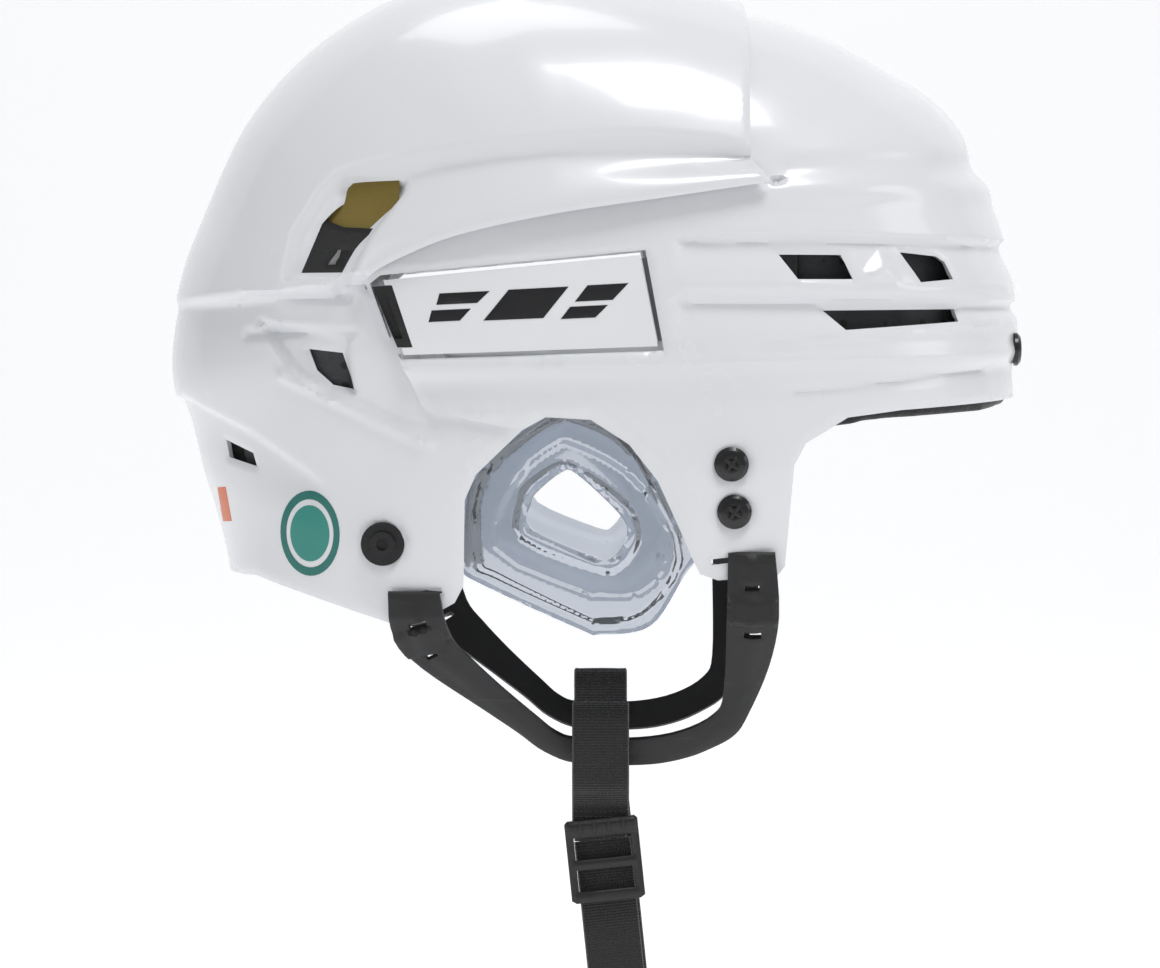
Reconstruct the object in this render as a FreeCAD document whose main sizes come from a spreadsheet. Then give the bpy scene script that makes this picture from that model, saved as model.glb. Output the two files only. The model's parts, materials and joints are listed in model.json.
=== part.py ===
import FreeCAD, Part
import math
import os

from FreeCAD import Placement, Rotation, Vector

# A two-piece ice hockey helmet, in millimetres.
# +X is the front, +Z is up, -Y is the wearer's right. The origin is the centre of the head opening,
# on the helmet's middle plane, at the height of the brow rim.
# Three layers nest: the rear shell's crown lies outside the front shell, and the front shell's side
# arms lie outside the rear shell's lower half, so the front shell slides along X to set the size.

DOC = FreeCAD.newDocument("hockey_helmet")

SIZES = (
    ("wall", 2.6, "wall of both shells"),
    ("crown_half_width", 104.5, "rear shell above the arms"),
    ("front_half_width", 98.4, "front shell and its arms"),
    ("lower_half_width", 95.1, "rear shell below the arms"),
    ("lower_step", 1.2, "lower half behind the crown at the middle of the back"),
    ("roundness", 2.6, "exponent of the rounded plan"),
    ("middle_height", 30.0, "height of the widest level"),
    ("skirt_end", 5.0, "front end of the rear shell's hidden side wall"),
    ("tongue_end", 16.0, "rear end of the front shell's hidden tongue"),
    ("gap", 0.6, "running clearance round a lever"),
    ("hinge_gap", 0.8, "more clearance ahead of a lever's hinge"),
    ("lever_proud", 0.5, "lever above the arm"),
    ("lever_depth", 2.2, "lever into the arm's window"),
    ("lever_pin_radius", 1.0, "hinge pin of a lever"),
    ("lever_pin_length", 27.0, ""),
    ("lever_axis_inset", 1.0, "hinge axis below the arm's face"),
    ("rack_height", 8.0, "toothed rack, across"),
    ("rack_tooth", 4.0, "pitch of the rack"),
    ("rack_teeth", 9.0, "number of teeth"),
    ("rack_depth", 2.4, "rack above the hidden side wall"),
    ("guard_thick", 2.4, "ear guard"),
    ("guard_rim", 8.0, "depth of the collar round the ear hole"),
    ("guard_rim_wall", 2.4, ""),
    ("screw_head_radius", 5.5, ""),
    ("screw_head_height", 2.4, ""),
    ("screw_shaft_radius", 2.2, ""),
    ("screw_length", 6.0, "under the head"),
    ("recess_radius", 1.9, "driver recess"),
    ("recess_depth", 1.3, ""),
    ("nut_barrel_radius", 3.2, ""),
    ("nut_flange_radius", 7.0, ""),
    ("nut_flange_thick", 1.4, ""),
    ("nut_hole_radius", 3.4, "hole in a shell for a nut's barrel"),
    ("stud_base_radius", 7.0, "snap stud's washer"),
    ("stud_base_thick", 1.4, ""),
    ("stud_post_radius", 4.0, ""),
    ("stud_post_height", 3.2, ""),
    ("stud_shank_radius", 2.0, ""),
    ("stud_shank_length", 5.0, ""),
    ("stud_hole_radius", 2.1, ""),
    ("backer_radius", 6.0, "washer inside the shell"),
    ("backer_thick", 1.2, ""),
    ("strap_thick", 3.2, "moulded side strap"),
    ("webbing_width", 18.6, ""),
    ("webbing_thick", 1.6, ""),
    ("buckle_width", 24.0, ""),
    ("buckle_height", 27.0, ""),
    ("buckle_thick", 3.4, ""),
    ("buckle_window_width", 19.4, ""),
    ("buckle_window_height", 7.0, ""),
    ("cap_radius", 6.5, "chin snap"),
    ("cap_thick", 2.2, ""),
    ("post_radius", 3.0, ""),
    ("post_height", 2.0, ""),
)

# Side outlines, as (X, Z). The skirts below the lobes only close each outline and are cut away.
BACK = (
    (-118, -95), (-125, -50), (-134.5, -18), (-143, 8), (-139.5, 38), (-131, 62), (-116, 93.5), (-94, 118),
)
SKIRT = ((128, -90), (95, -135), (45, -160), (-10, -166), (-65, -155), (-100, -128))
REAR_CROWN = ((-66, 135), (-36, 142.4), (-14, 143.2), (10, 141.8), (30, 138.6), (48.7, 133.5))
REAR_BROW = ((76, 124), (105, 108), (126, 84), (139, 45), (143, 20), (142, -30))
FRONT_CROWN = ((-66, 125), (-20, 129.6), (15, 129.8), (49, 129.6))
FRONT_BROW = (
    (76.5, 121.7), (98.5, 110), (113, 101), (123, 90), (126.5, 80), (131.5, 70), (137, 56), (141, 38),
    (142.4, 20), (141, -30),
)

# Edges of the shells, as (X, Z).
SEAM = ((50, 170), (50, 84), (56, 72))
RIDGE = ((21, 66.7), (-13, 61.6), (-44, 54.7), (-64.5, 46.4), (-73.7, 40.7))
ARM_END = ((-73.7, 40.7), (-62.6, 16.7), (-55.6, 0.5), (-52, -1.5))
EAR_EDGE_REAR = ((-23.4, -7.8), (-37.9, -21.7), (-41.6, -30), (-42.1, -57.9))
REAR_LOBE = ((-45, -63.5), (-49, -65.8), (-52, -72.2), (-65, -70.9), (-94, -62), (-112, -57), (-122.4, -57.5))
EAR_EDGE_FRONT = ((-15.4, -3), (-1, -3.8), (11.2, -11.6), (20.4, -23.3), (28, -40), (31.2, -47.7))
FRONT_LOBE = ((34, -53.3), (39.7, -55.3), (58.7, -54.2), (61.3, -50.9), (64.1, -18.5))
REAR_SLOT = ((-64.5, -61.5), (-49.5, -58.5), (-49.1, -60.3), (-64.1, -63.3))
FRONT_SLOT = ((37.5, -48.5), (55.5, -46.5), (55.7, -48.3), (37.7, -50.3))
BROW_EDGE = ((68, -11.5), (82, -3.4), (100, -1.2), (139, 1.2), (150, 1.2))

# Vents, as (X, Z) outlines on the side.
FRONT_VENTS = (
    ((59.4, 49), (65.2, 41), (83, 41), (79.8, 49)),
    ((99.9, 50), (112.4, 48.7), (115, 46.8), (116.9, 41), (105.7, 40)),
    ((73.8, 31), (118.7, 31.4), (118.7, 27.2), (80.8, 24.7)),
)
REAR_VENTS = (
    ((-95.3, 43.5), (-88.6, 59.2), (-79.5, 69), (-65, 71.5), (-75.5, 54.4), (-81.5, 43.5)),
    ((-93.9, 18.4), (-82.4, 17.1), (-78.3, 5), (-85.6, 6.3), (-91, 11)),
    ((-124, -12.8), (-114.1, -16.8), (-112.5, -21), (-122.3, -18.4)),
)

# Lock plate, grip and ear guard, as (X, Z) outlines on the side.
LEVER = ((-67, 40.6), (14.6, 48.6), (20.3, 19.7), (-60.5, 16.8))
GRIP = ((-70.5, 38.5), (-64.4, 39), (-57.8, 19.4), (-62.5, 19.2))
LEVER_HINGE = (17.0, 34.2)
LEVER_LEAN = 11.0
GUARD = (
    (-15.7, 0), (-1, -1), (14, -10), (24, -26), (31, -42), (33, -47.5), (28.9, -54), (18.2, -70.1),
    (2, -73), (-4, -71.6), (-34.7, -57.8), (-56, -52), (-56, -28), (-42, -18),
)
GUARD_HOLE = ((-20.2, -31), (-20.2, -39), (1, -48.2), (6.4, -47.7), (10.6, -40.7), (8, -34), (-5.6, -21.4),
              (-10.4, -21), (-18, -27.1))
GUARD_FRONT_X = 30.0
GUARD_FRONT_Y = -88.8
GUARD_YAW = 5.6

# Fasteners, as (X, Z) on the side, or (Y, Z) on the front.
SIDE_SCREWS = ((43.8, -17.9), (44.8, -33.1))
FRONT_SCREW = (-32.0, 17.6)
SNAP_STUD = (-67.7, -43.9)

# Moulded side strap, flat, as (X, Z) before it leans in.
STRAP_OUTER = (
    (-66, -59), (-63, -78), (-52, -91), (-37, -105), (-26, -114.5), (-18, -122.5), (-7, -127), (13, -127.5),
    (26, -125), (37, -120), (44.5, -115), (49, -107), (56.5, -87), (60, -67), (58, -46),
)
STRAP_INNER = (
    (43, -46), (43, -67), (41.5, -100), (38, -107.5), (27, -114), (13, -117), (-7, -117), (-14, -114.5),
    (-20, -108), (-31, -96.5), (-40, -85), (-46, -76), (-49, -60),
)
STRAP_Y = -89.4
STRAP_TOP = -68.0
STRAP_LEAN = 32.0
STRAP_YAW = 3.4

# Chin strap: it hangs at this distance from the middle plane and leans forwards a little.
CHIN_Y = 62.0
CHIN_X = 2.2
CHIN_TOP = -96.5
CHIN_LOOP_END = -140.0
LOOP_ROOM = 10.0
LOOP_DEPTH = 28.0
CHIN_ARC_TOP = -186.0
CHIN_ARC_RADIUS = 44.0
CHIN_LEAN = 6.0
BUCKLE_TOP = -136.0


def make_sheet():
    """Write the driving sizes to a spreadsheet, one row for each."""
    sheet = DOC.addObject("Spreadsheet::Sheet", "Sizes")
    for row, (alias, value, note) in enumerate(SIZES, start=1):
        sheet.set(f"A{row}", alias)
        sheet.set(f"B{row}", str(value))
        sheet.set(f"C{row}", note)
        sheet.setAlias(f"B{row}", alias)
    DOC.recompute()
    return sheet


SHEET = make_sheet()


def size(alias):
    return float(getattr(SHEET, alias))


def feature(label, shape):
    """A plain document object that holds a shape."""
    holder = DOC.addObject("Part::Feature", label)
    holder.Label = label
    holder.Shape = shape
    return holder


def boolean(kind, label, base, tool):
    """Part::Cut, Part::Common or Part::Fuse of two objects."""
    result = DOC.addObject(kind, label)
    result.Label = label
    result.Base = base
    result.Tool = tool
    return result


def mirrored(label, source):
    """The wearer's left copy of a right-hand piece."""
    copy = DOC.addObject("Part::Mirroring", label)
    copy.Label = label
    copy.Source = source
    copy.Normal = Vector(0, 1, 0)
    return copy


# --- bulged surfaces -------------------------------------------------------------------------------

def bulge(outline, half_width, inset):
    """Solid inside a helmet surface: one side outline, shrunk towards both sides by a superellipse."""
    power = size("roundness")
    middle = Vector(0, 0, size("middle_height"))
    steps = 9
    wires = []
    for step in range(-steps, steps + 1):
        angle = math.radians(84) * step / steps
        shrink = math.cos(angle) ** (2 / power)
        reach = math.copysign(abs(math.sin(angle)) ** (2 / power), angle) * (half_width - inset)
        points = []
        for x, z in outline:
            arm = Vector(x, 0, z) - middle
            arm.multiply((arm.Length - inset) / arm.Length * shrink)
            points.append(middle + arm + Vector(0, reach, 0))
        curve = Part.BSplineCurve()
        curve.interpolate(points, PeriodicFlag=True)
        wires.append(Part.Wire(curve.toShape()))
    return Part.makeLoft(wires, True, False)


def prism(points, low=-130.0, high=130.0):
    """Side outline run through the helmet from low to high along Y."""
    corners = [Vector(x, low, z) for x, z in points]
    face = Part.Face(Part.makePolygon(corners + corners[:1]))
    return face.extrude(Vector(0, high - low, 0))


def grown(points, margin):
    """A convex side outline moved outwards by a margin."""
    wire = Part.makePolygon([Vector(x, 0, z) for x, z in points + points[:1]])
    offset = wire.makeOffset2D(margin, 2)
    if Part.Face(offset).Area < Part.Face(wire).Area:
        offset = wire.makeOffset2D(-margin, 2)
    return tuple((v.X, v.Z) for v in offset.OrderedVertexes)


def y_cylinder(radius, x, z, low, high):
    return Part.makeCylinder(radius, high - low, Vector(x, low, z), Vector(0, 1, 0))


def both_sides(shape):
    return [shape, shape.mirror(Vector(0, 0, 0), Vector(0, 1, 0))]


def skin_y(solid, x, z):
    """Y of a solid's right-hand face at a point of the side view."""
    probe = Part.makeLine(Vector(x, -150, z), Vector(x, 0, z)).common(solid)
    return probe.BoundBox.YMin


REAR_OUTLINE = BACK + REAR_CROWN + REAR_BROW + SKIRT
FRONT_OUTLINE = BACK + FRONT_CROWN + FRONT_BROW + SKIRT
WALL = size("wall")
STEP = size("lower_step")
LOWER_WIDTH = size("lower_half_width") + STEP

crown_solid = bulge(REAR_OUTLINE, size("crown_half_width"), 0)
crown_hollow = bulge(REAR_OUTLINE, size("crown_half_width"), WALL)
lower_solid = bulge(REAR_OUTLINE, LOWER_WIDTH, STEP)
lower_hollow = bulge(REAR_OUTLINE, LOWER_WIDTH, STEP + WALL)
front_solid = bulge(FRONT_OUTLINE, size("front_half_width"), 0)
front_hollow = bulge(FRONT_OUTLINE, size("front_half_width"), WALL)

NUT_Y = [skin_y(front_solid, x, z) for x, z in SIDE_SCREWS]
STUD_Y = skin_y(lower_solid, *SNAP_STUD)


# --- shells ----------------------------------------------------------------------------------------

def rear_shell():
    """Crown over the front shell, a step behind the arms, and the lower half under the arms."""
    back_line = ((-79.5, 38.8), (-160, 32))
    raised_line = tuple((x, z + WALL + 0.5) for x, z in back_line)
    far_top = ((-160, 170),)
    front_edge = ((-73.9, 38), (-73.9, -5), (-23.4, -5)) + EAR_EDGE_REAR + REAR_LOBE + ((-160, -57.5),)
    crown = prism(SEAM + RIDGE + back_line + far_top).common(crown_solid)
    lower = prism(tuple(reversed(back_line)) + front_edge).common(lower_solid)
    crown_room = prism(SEAM + RIDGE + back_line[:1] + raised_line + far_top).common(crown_hollow)
    lower_room = prism(tuple(reversed(raised_line)) + front_edge).common(lower_hollow)
    shell = crown.fuse(lower).cut(crown_room).cut(lower_room).fuse(both_sides(side_wall()))
    stud_x, stud_z = SNAP_STUD
    tools = [prism(vent) for vent in REAR_VENTS]
    tools.append(y_cylinder(size("stud_hole_radius"), stud_x, stud_z, -130, 130))
    tools += both_sides(y_cylinder(size("stud_base_radius") + 0.4, stud_x, stud_z, -130, STUD_Y + 0.5))
    back = y_cylinder(size("backer_radius") + 0.4, stud_x, stud_z, STUD_Y + WALL - 0.4, -60)
    tools += both_sides(back)
    tools.append(prism(REAR_SLOT))
    return feature("rear_shell", shell.cut(tools))


def side_wall():
    """Hidden wall under an arm: its section at the arm's rear end, run forwards parallel to X."""
    arm_x = ARM_END[0][0] - 0.2
    skin = lower_solid.cut(lower_hollow).common(prism(((-80, -7.8), (-60, -7.8), (-60, 39.5), (-80, 39.5))))
    edges = skin.slice(Vector(1, 0, 0), arm_x)
    wire = [edge for edge in edges if edge.BoundBox.YMax < 0][0]
    wall = Part.Face(wire).extrude(Vector(size("skirt_end") - arm_x, 0, 0))
    opened = prism(((-74, -7.8), (-42, -7.8), (-30, 5), (5.5, 20), (5.5, 39.6), (-74, 39.6)))
    return wall.common(opened)


def front_shell():
    """Brow and temples, with a tongue under the crown and an arm along each side."""
    tongue = ((size("tongue_end"), 170), (size("tongue_end"), 100), (44, 73.5))
    hidden_top = ((21, 69), (-13, 64), (-44, 57), (-64.5, 48.5), (-73.7, 40.7))
    edge = tongue + hidden_top + ARM_END + EAR_EDGE_FRONT + FRONT_LOBE + BROW_EDGE + ((150, 170),)
    skin = front_solid.cut(front_hollow).common(prism(edge))
    opening = tuple((x + size("hinge_gap"), z) if x > 0 else (x, z) for x, z in LEVER)
    windows = [prism(grown(opening, size("gap"))), prism(grown(GRIP, size("gap")))]
    vents = [prism(vent) for vent in FRONT_VENTS]
    tools = windows + vents + [prism(FRONT_SLOT)]
    radius = size("nut_hole_radius")
    for (x, z), y in zip(SIDE_SCREWS, NUT_Y):
        seat = y_cylinder(size("screw_head_radius") + 0.4, x, z, -130, y + 0.3)
        flange = y_cylinder(size("nut_flange_radius") + 0.3, x, z, y + WALL - 0.3, -60)
        tools = tools + [y_cylinder(radius, x, z, -130, 130)] + both_sides(seat) + both_sides(flange)
    y, z = FRONT_SCREW
    for side in (y, -y):
        base = Vector(120, side, z)
        tools.append(Part.makeCylinder(radius, 40, base, Vector(1, 0, 0)))
        inside = Vector(front_x() - WALL + 0.3, side, z)
        tools.append(Part.makeCylinder(size("nut_flange_radius") + 0.3, 12, inside, Vector(-1, 0, 0)))
        seat = Vector(front_x() - 0.3, side, z)
        tools.append(Part.makeCylinder(size("screw_head_radius") + 0.4, 20, seat, Vector(1, 0, 0)))
    return feature("front_shell", skin.cut(tools))


def front_x():
    """X of the front shell's face at a front screw."""
    y, z = FRONT_SCREW
    return Part.makeLine(Vector(0, y, z), Vector(200, y, z)).common(front_solid).BoundBox.XMax


# --- size locks ------------------------------------------------------------------------------------

def lever_solids():
    """Skin that holds a lever: a little proud of the arm, and into its window."""
    outer = bulge(FRONT_OUTLINE, size("front_half_width") + size("lever_proud"), 0)
    inner = bulge(FRONT_OUTLINE, size("front_half_width"), size("lever_depth"))
    return outer.cut(inner)


def hinge_y():
    return skin_y(front_solid, *LEVER_HINGE) + size("lever_axis_inset")


def lever_pin_shape(radius):
    """Cylinder along a lever's leaning hinge axis."""
    length = size("lever_pin_length")
    x, z = LEVER_HINGE
    lean = math.radians(LEVER_LEAN)
    axis = Vector(-math.sin(lean), 0, math.cos(lean))
    return Part.makeCylinder(radius, length, Vector(x, hinge_y(), z) - axis * (length / 2), axis)


def lock_parts():
    """Lever, grip, hinge pin, pin bracket and toothed rack of the right-hand lock, and their mirrors."""
    skin = lever_solids()
    grip_zone = prism(grown(GRIP, 0.15), -130, 0)
    plate = skin.common(prism(LEVER, -130, 0)).cut(grip_zone)
    plate = plate.cut(lever_pin_shape(size("lever_pin_radius") + 0.05))
    grip = skin.common(prism(GRIP, -130, 0))
    pull = prism(((-69, 36), (-66, 36.3), (-60.8, 22), (-63.5, 22)), -130, skin_y(front_solid, -65, 29) + 1.0)
    pin = lever_pin_shape(size("lever_pin_radius"))
    parts = [
        feature("right_lock_lever", plate),
        feature("right_lock_grip", grip.cut(pull)),
        feature("right_lock_pin", pin),
        lock_bracket(),
        lock_rack(),
    ]
    lefts = [mirrored(part.Label.replace("right", "left"), part) for part in parts]
    return parts + lefts


def lock_bracket():
    """Two eyes behind the arm, above and below the lever, that carry its pin."""
    x, z = LEVER_HINGE
    y = hinge_y()
    lean = math.radians(LEVER_LEAN)
    axis = Vector(-math.sin(lean), 0, math.cos(lean))
    length = size("lever_pin_length")
    start = Vector(x, y, z) - axis * (length / 2)
    bar = Part.makeBox(5, 2.4, length, Vector(-2.5, 0, 0))
    bar.Placement = Placement(start + Vector(0, 2.9, 0), Rotation(Vector(0, 0, 1), axis))
    return feature("right_lock_bracket", bar.cut(front_solid.cut(front_hollow)))


def lock_rack():
    """Row of teeth on the hidden side wall, under the lever, as a padded sketch."""
    body = DOC.addObject("PartDesign::Body", "right_lock_rack")
    body.Label = "right_lock_rack"
    sketch = body.newObject("Sketcher::SketchObject", "rack_outline")
    attach(sketch, body, "XY_Plane")
    teeth = int(size("rack_teeth"))
    pitch = "Sizes.rack_tooth"
    corners = [("0", "0"), (f"{pitch} * {teeth}", "0")]
    for tooth in range(teeth, 0, -1):
        corners.append((f"{pitch} * {tooth}", "Sizes.rack_depth / 2"))
        corners.append((f"{pitch} * ({tooth} - 0.5)", "Sizes.rack_depth"))
    corners.append(("0", "Sizes.rack_depth / 2"))
    bound_polygon(sketch, corners)
    pad = body.newObject("PartDesign::Pad", "rack_pad")
    pad.Profile = sketch
    pad.setExpression("Length", "Sizes.rack_height")
    DOC.recompute()
    wall_y = skin_y(lower_solid, ARM_END[0][0] - 0.2, 24) - 0.1
    body.Placement = Placement(Vector(-10, wall_y, 20), Rotation(Vector(0, 0, 1), 180))
    return body


# --- sketches bound to the sheet -------------------------------------------------------------------

def attach(sketch, body, role):
    plane = [item for item in body.Origin.OriginFeatures if item.Role == role][0]
    sketch.AttachmentSupport = [(plane, "")]
    sketch.MapMode = "FlatFace"


def bound_polygon(sketch, corners):
    """Closed polygon whose corners are placed by expressions of the sheet."""
    import Sketcher
    values = [tuple(evaluate(sketch, text) for text in corner) for corner in corners]
    count = len(values)
    first = sketch.GeometryCount
    for index, (x, y) in enumerate(values):
        after = values[(index + 1) % count]
        sketch.addGeometry(Part.LineSegment(Vector(x, y, 0), Vector(after[0], after[1], 0)), False)
    for index in range(count):
        following = first + (index + 1) % count
        sketch.addConstraint(Sketcher.Constraint("Coincident", first + index, 2, following, 1))
    for index, (x, y) in enumerate(values):
        for axis, value, text in (("DistanceX", x, corners[index][0]), ("DistanceY", y, corners[index][1])):
            number = sketch.addConstraint(Sketcher.Constraint(axis, -1, 1, first + index, 1, value))
            if "Sizes" in text:
                sketch.setExpression(f"Constraints[{number}]", text)


def evaluate(owner, text):
    return float(owner.evalExpression(text))


def turned_body(label, corners):
    """Body turned about Z from a half section of (radius, height) corners."""
    body = DOC.addObject("PartDesign::Body", label)
    body.Label = label
    sketch = body.newObject("Sketcher::SketchObject", label + "_section")
    attach(sketch, body, "XZ_Plane")
    bound_polygon(sketch, corners)
    turn = body.newObject("PartDesign::Revolution", label + "_turn")
    turn.Profile = sketch
    turn.ReferenceAxis = (sketch, ["V_Axis"])
    turn.Angle = 360
    DOC.recompute()
    return body


def copies(label, source, places):
    """One node that groups placed copies of a turned body."""
    group = DOC.addObject("Part::Compound", label)
    group.Label = label
    links = []
    for number, place in enumerate(places, start=1):
        link = DOC.addObject("App::Link", f"{label}_{number}")
        link.LinkedObject = source
        link.LinkTransform = False
        link.Placement = place
        links.append(link)
    group.Links = links
    return group


# --- fasteners -------------------------------------------------------------------------------------

FACING_RIGHT = Rotation(Vector(0, 0, 1), Vector(0, -1, 0))
FACING_FRONT = Rotation(Vector(0, 0, 1), Vector(1, 0, 0))


def screws_and_nuts():
    """Pan-head screws, and the flanged nuts that they turn into from outside."""
    head = "Sizes.screw_head_radius"
    tall = "Sizes.screw_head_height"
    screw = turned_body("screw", (
        ("0", "-Sizes.screw_length"), ("Sizes.screw_shaft_radius", "-Sizes.screw_length"),
        ("Sizes.screw_shaft_radius", "0"), (head, "0"), (head, f"{tall} * 0.45"),
        (f"{head} * 0.8", f"{tall} * 0.85"), (f"{head} * 0.5", tall), ("Sizes.recess_radius", tall),
        ("Sizes.recess_radius", f"{tall} - Sizes.recess_depth"), ("0", f"{tall} - Sizes.recess_depth"),
    ))
    bore = "Sizes.screw_shaft_radius + 0.05"
    flange_low = "-(Sizes.wall + 0.1) - Sizes.nut_flange_thick"
    nut = turned_body("nut", (
        (bore, flange_low), ("Sizes.nut_flange_radius", flange_low),
        ("Sizes.nut_flange_radius", "-(Sizes.wall + 0.1)"), ("Sizes.nut_barrel_radius", "-(Sizes.wall + 0.1)"),
        ("Sizes.nut_barrel_radius", "-0.05"), (bore, "-0.05"),
    ))
    side = [Placement(Vector(x, y + 0.3, z), FACING_RIGHT) for (x, z), y in zip(SIDE_SCREWS, NUT_Y)]
    y, z = FRONT_SCREW
    front = [Placement(Vector(front_x() - 0.3, place, z), FACING_FRONT) for place in (y, -y)]
    right = [copies("right_side_screws", screw, side), copies("right_side_nuts", nut, side)]
    left = [mirrored("left_side_screws", right[0]), mirrored("left_side_nuts", right[1])]
    return right + left + [copies("front_screws", screw, front), copies("front_nuts", nut, front)]


def snap_studs():
    """Snap stud on each rear lobe, with the washer that it is riveted to inside."""
    post = "Sizes.stud_post_radius"
    tall = "Sizes.stud_base_thick + Sizes.stud_post_height"
    stud = turned_body("right_snap_stud", (
        ("0", "-Sizes.stud_shank_length"), ("Sizes.stud_shank_radius", "-Sizes.stud_shank_length"),
        ("Sizes.stud_shank_radius", "0"), ("Sizes.stud_base_radius", "0"),
        ("Sizes.stud_base_radius", "Sizes.stud_base_thick"), (post, "Sizes.stud_base_thick"),
        (post, tall), ("Sizes.recess_radius", tall), ("Sizes.recess_radius", f"{tall} - 2.2"),
        ("0", f"{tall} - 2.2"),
    ))
    bore = "Sizes.stud_shank_radius + 0.05"
    low = "-Sizes.wall - 0.2 - Sizes.backer_thick"
    washer = turned_body("right_snap_washer", (
        (bore, low), ("Sizes.backer_radius", low), ("Sizes.backer_radius", "-Sizes.wall - 0.2"),
        (bore, "-Sizes.wall - 0.2"),
    ))
    place = Placement(Vector(SNAP_STUD[0], STUD_Y + 0.5, SNAP_STUD[1]), FACING_RIGHT)
    stud.Placement = place
    washer.Placement = place
    return [stud, washer, mirrored("left_snap_stud", stud), mirrored("left_snap_washer", washer)]


# --- ear guards ------------------------------------------------------------------------------------

def ear_guards():
    """Clear plate with a collared ear hole, and bosses that reach the front lobe."""
    thick = size("guard_thick")
    rim = size("guard_rim")
    hole = prism(GUARD_HOLE, -20, 20)
    collar = prism(grown(GUARD_HOLE, size("guard_rim_wall")), 0, rim)
    plate = prism(GUARD, 0, thick).fuse(collar).cut(hole)
    turn = Rotation(Vector(0, 0, 1), -GUARD_YAW)
    pivot = Vector(GUARD_FRONT_X, 0, 0)
    plate.Placement = Placement(Vector(GUARD_FRONT_X, GUARD_FRONT_Y, 0) - turn.multVec(pivot), turn)
    ears = [prism(((31, -26), (49, -26), (49, -14), (18, -14), (14, -22)), 0, thick)]
    tab = ears[0].fuse(prism(((30, -41), (48, -41), (48, -25), (24, -25)), 0, thick))
    tab.Placement = plate.Placement
    guard = plate.fuse(tab).removeSplitter()
    for (x, z), y in zip(SIDE_SCREWS, NUT_Y):
        guard = guard.cut(y_cylinder(size("nut_flange_radius") + 0.4, x, z, -130, -60))
    right = feature("right_ear_guard", guard)
    return [right, mirrored("left_ear_guard", right)]


# --- liner -----------------------------------------------------------------------------------------

def pad(label, outline, half_width, depth, thick, zone, low=-130.0, high=130.0):
    """Foam between two insets of a helmet surface, inside one zone of the side view."""
    outer = bulge(outline, half_width, depth)
    inner = bulge(outline, half_width, depth + thick)
    foam = prism(zone, low, high).common(outer).cut(inner)
    return feature(label, foam)


def liner():
    """Foam pads: the front five move with the front shell, the others with the rear shell."""
    front = size("front_half_width")
    crown = size("crown_half_width")
    brow = ((70, -9), (84, -6.4), (138, -2.6), (160, -2.6), (160, 10), (80, 6), (70, 0))
    forehead = ((64, 8), (84, 10), (160, 14), (160, 66), (64, 62))
    temple = ((30, -14), (62, -14), (62, 60), (30, 60))
    front_top = ((0, 150), (0, 100), (100, 72), (160, 72), (160, 150))
    rear_top = ((-95, 150), (-95, 92), (-25, 92), (-25, 150))
    rear_side = ((-120, -48), (-76, -48), (-76, 30), (-120, 30))
    nape = ((-160, -50), (-95, -50), (-95, 30), (-160, 30))
    vent = ((-100, 50), (-62, 58), (-62, 84), (-92, 84))
    right_rear = pad("right_rear_pad", REAR_OUTLINE, LOWER_WIDTH, 4.8, 11, rear_side, -130, -49)
    right_temple = pad("right_temple_pad", FRONT_OUTLINE, front, 10.5, 9, temple, -130, 0)
    right_vent = pad("right_vent_insert", REAR_OUTLINE, crown, 5.0, 5, vent, -130, 0)
    return [
        pad("brow_pad", FRONT_OUTLINE, front, 3.0, 9, brow),
        pad("front_liner", FRONT_OUTLINE, front, 7.0, 11, forehead),
        right_temple, mirrored("left_temple_pad", right_temple),
        pad("front_crown_pad", FRONT_OUTLINE, front, 3.1, 11, front_top, -62, 62),
        pad("rear_crown_pad", REAR_OUTLINE, crown, 3.1, 16, rear_top, -60, 60),
        right_rear, mirrored("left_rear_pad", right_rear),
        pad("nape_pad", REAR_OUTLINE, LOWER_WIDTH, 4.8, 12, nape, -46, 46),
        right_vent, mirrored("left_vent_insert", right_vent),
    ]


# --- straps ----------------------------------------------------------------------------------------

def side_straps():
    """Moulded strap from the rear lobe to the front lobe, leaning in towards the chin."""
    flat = prism(STRAP_OUTER + STRAP_INNER, -size("strap_thick"), 0)
    lean = Rotation(Vector(1, 0, 0), STRAP_LEAN)
    yaw = Rotation(Vector(0, 0, 1), -STRAP_YAW)
    turn = yaw.multiply(lean)
    pivot = Vector(0, 0, STRAP_TOP)
    flat.Placement = Placement(Vector(0, STRAP_Y, STRAP_TOP) - turn.multVec(pivot), turn)
    right = feature("right_side_strap", flat)
    return [right, mirrored("left_side_strap", right)]


def band(points, thick, width):
    """Flat webbing: a line in the YZ plane thickened on both sides and run across X."""
    wire = Part.Wire(points)
    ring = wire.makeOffset2D(thick / 2, 0, False, True)
    edges = wire.makeOffset2D(-thick / 2, 0, False, True)
    ends = [Part.makeLine(ring.OrderedVertexes[i].Point, edges.OrderedVertexes[i].Point) for i in (0, -1)]
    face = Part.Face(Part.Wire(Part.sortEdges(ring.Edges + edges.Edges + ends)[0]))
    return face.extrude(Vector(width, 0, 0))


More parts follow.
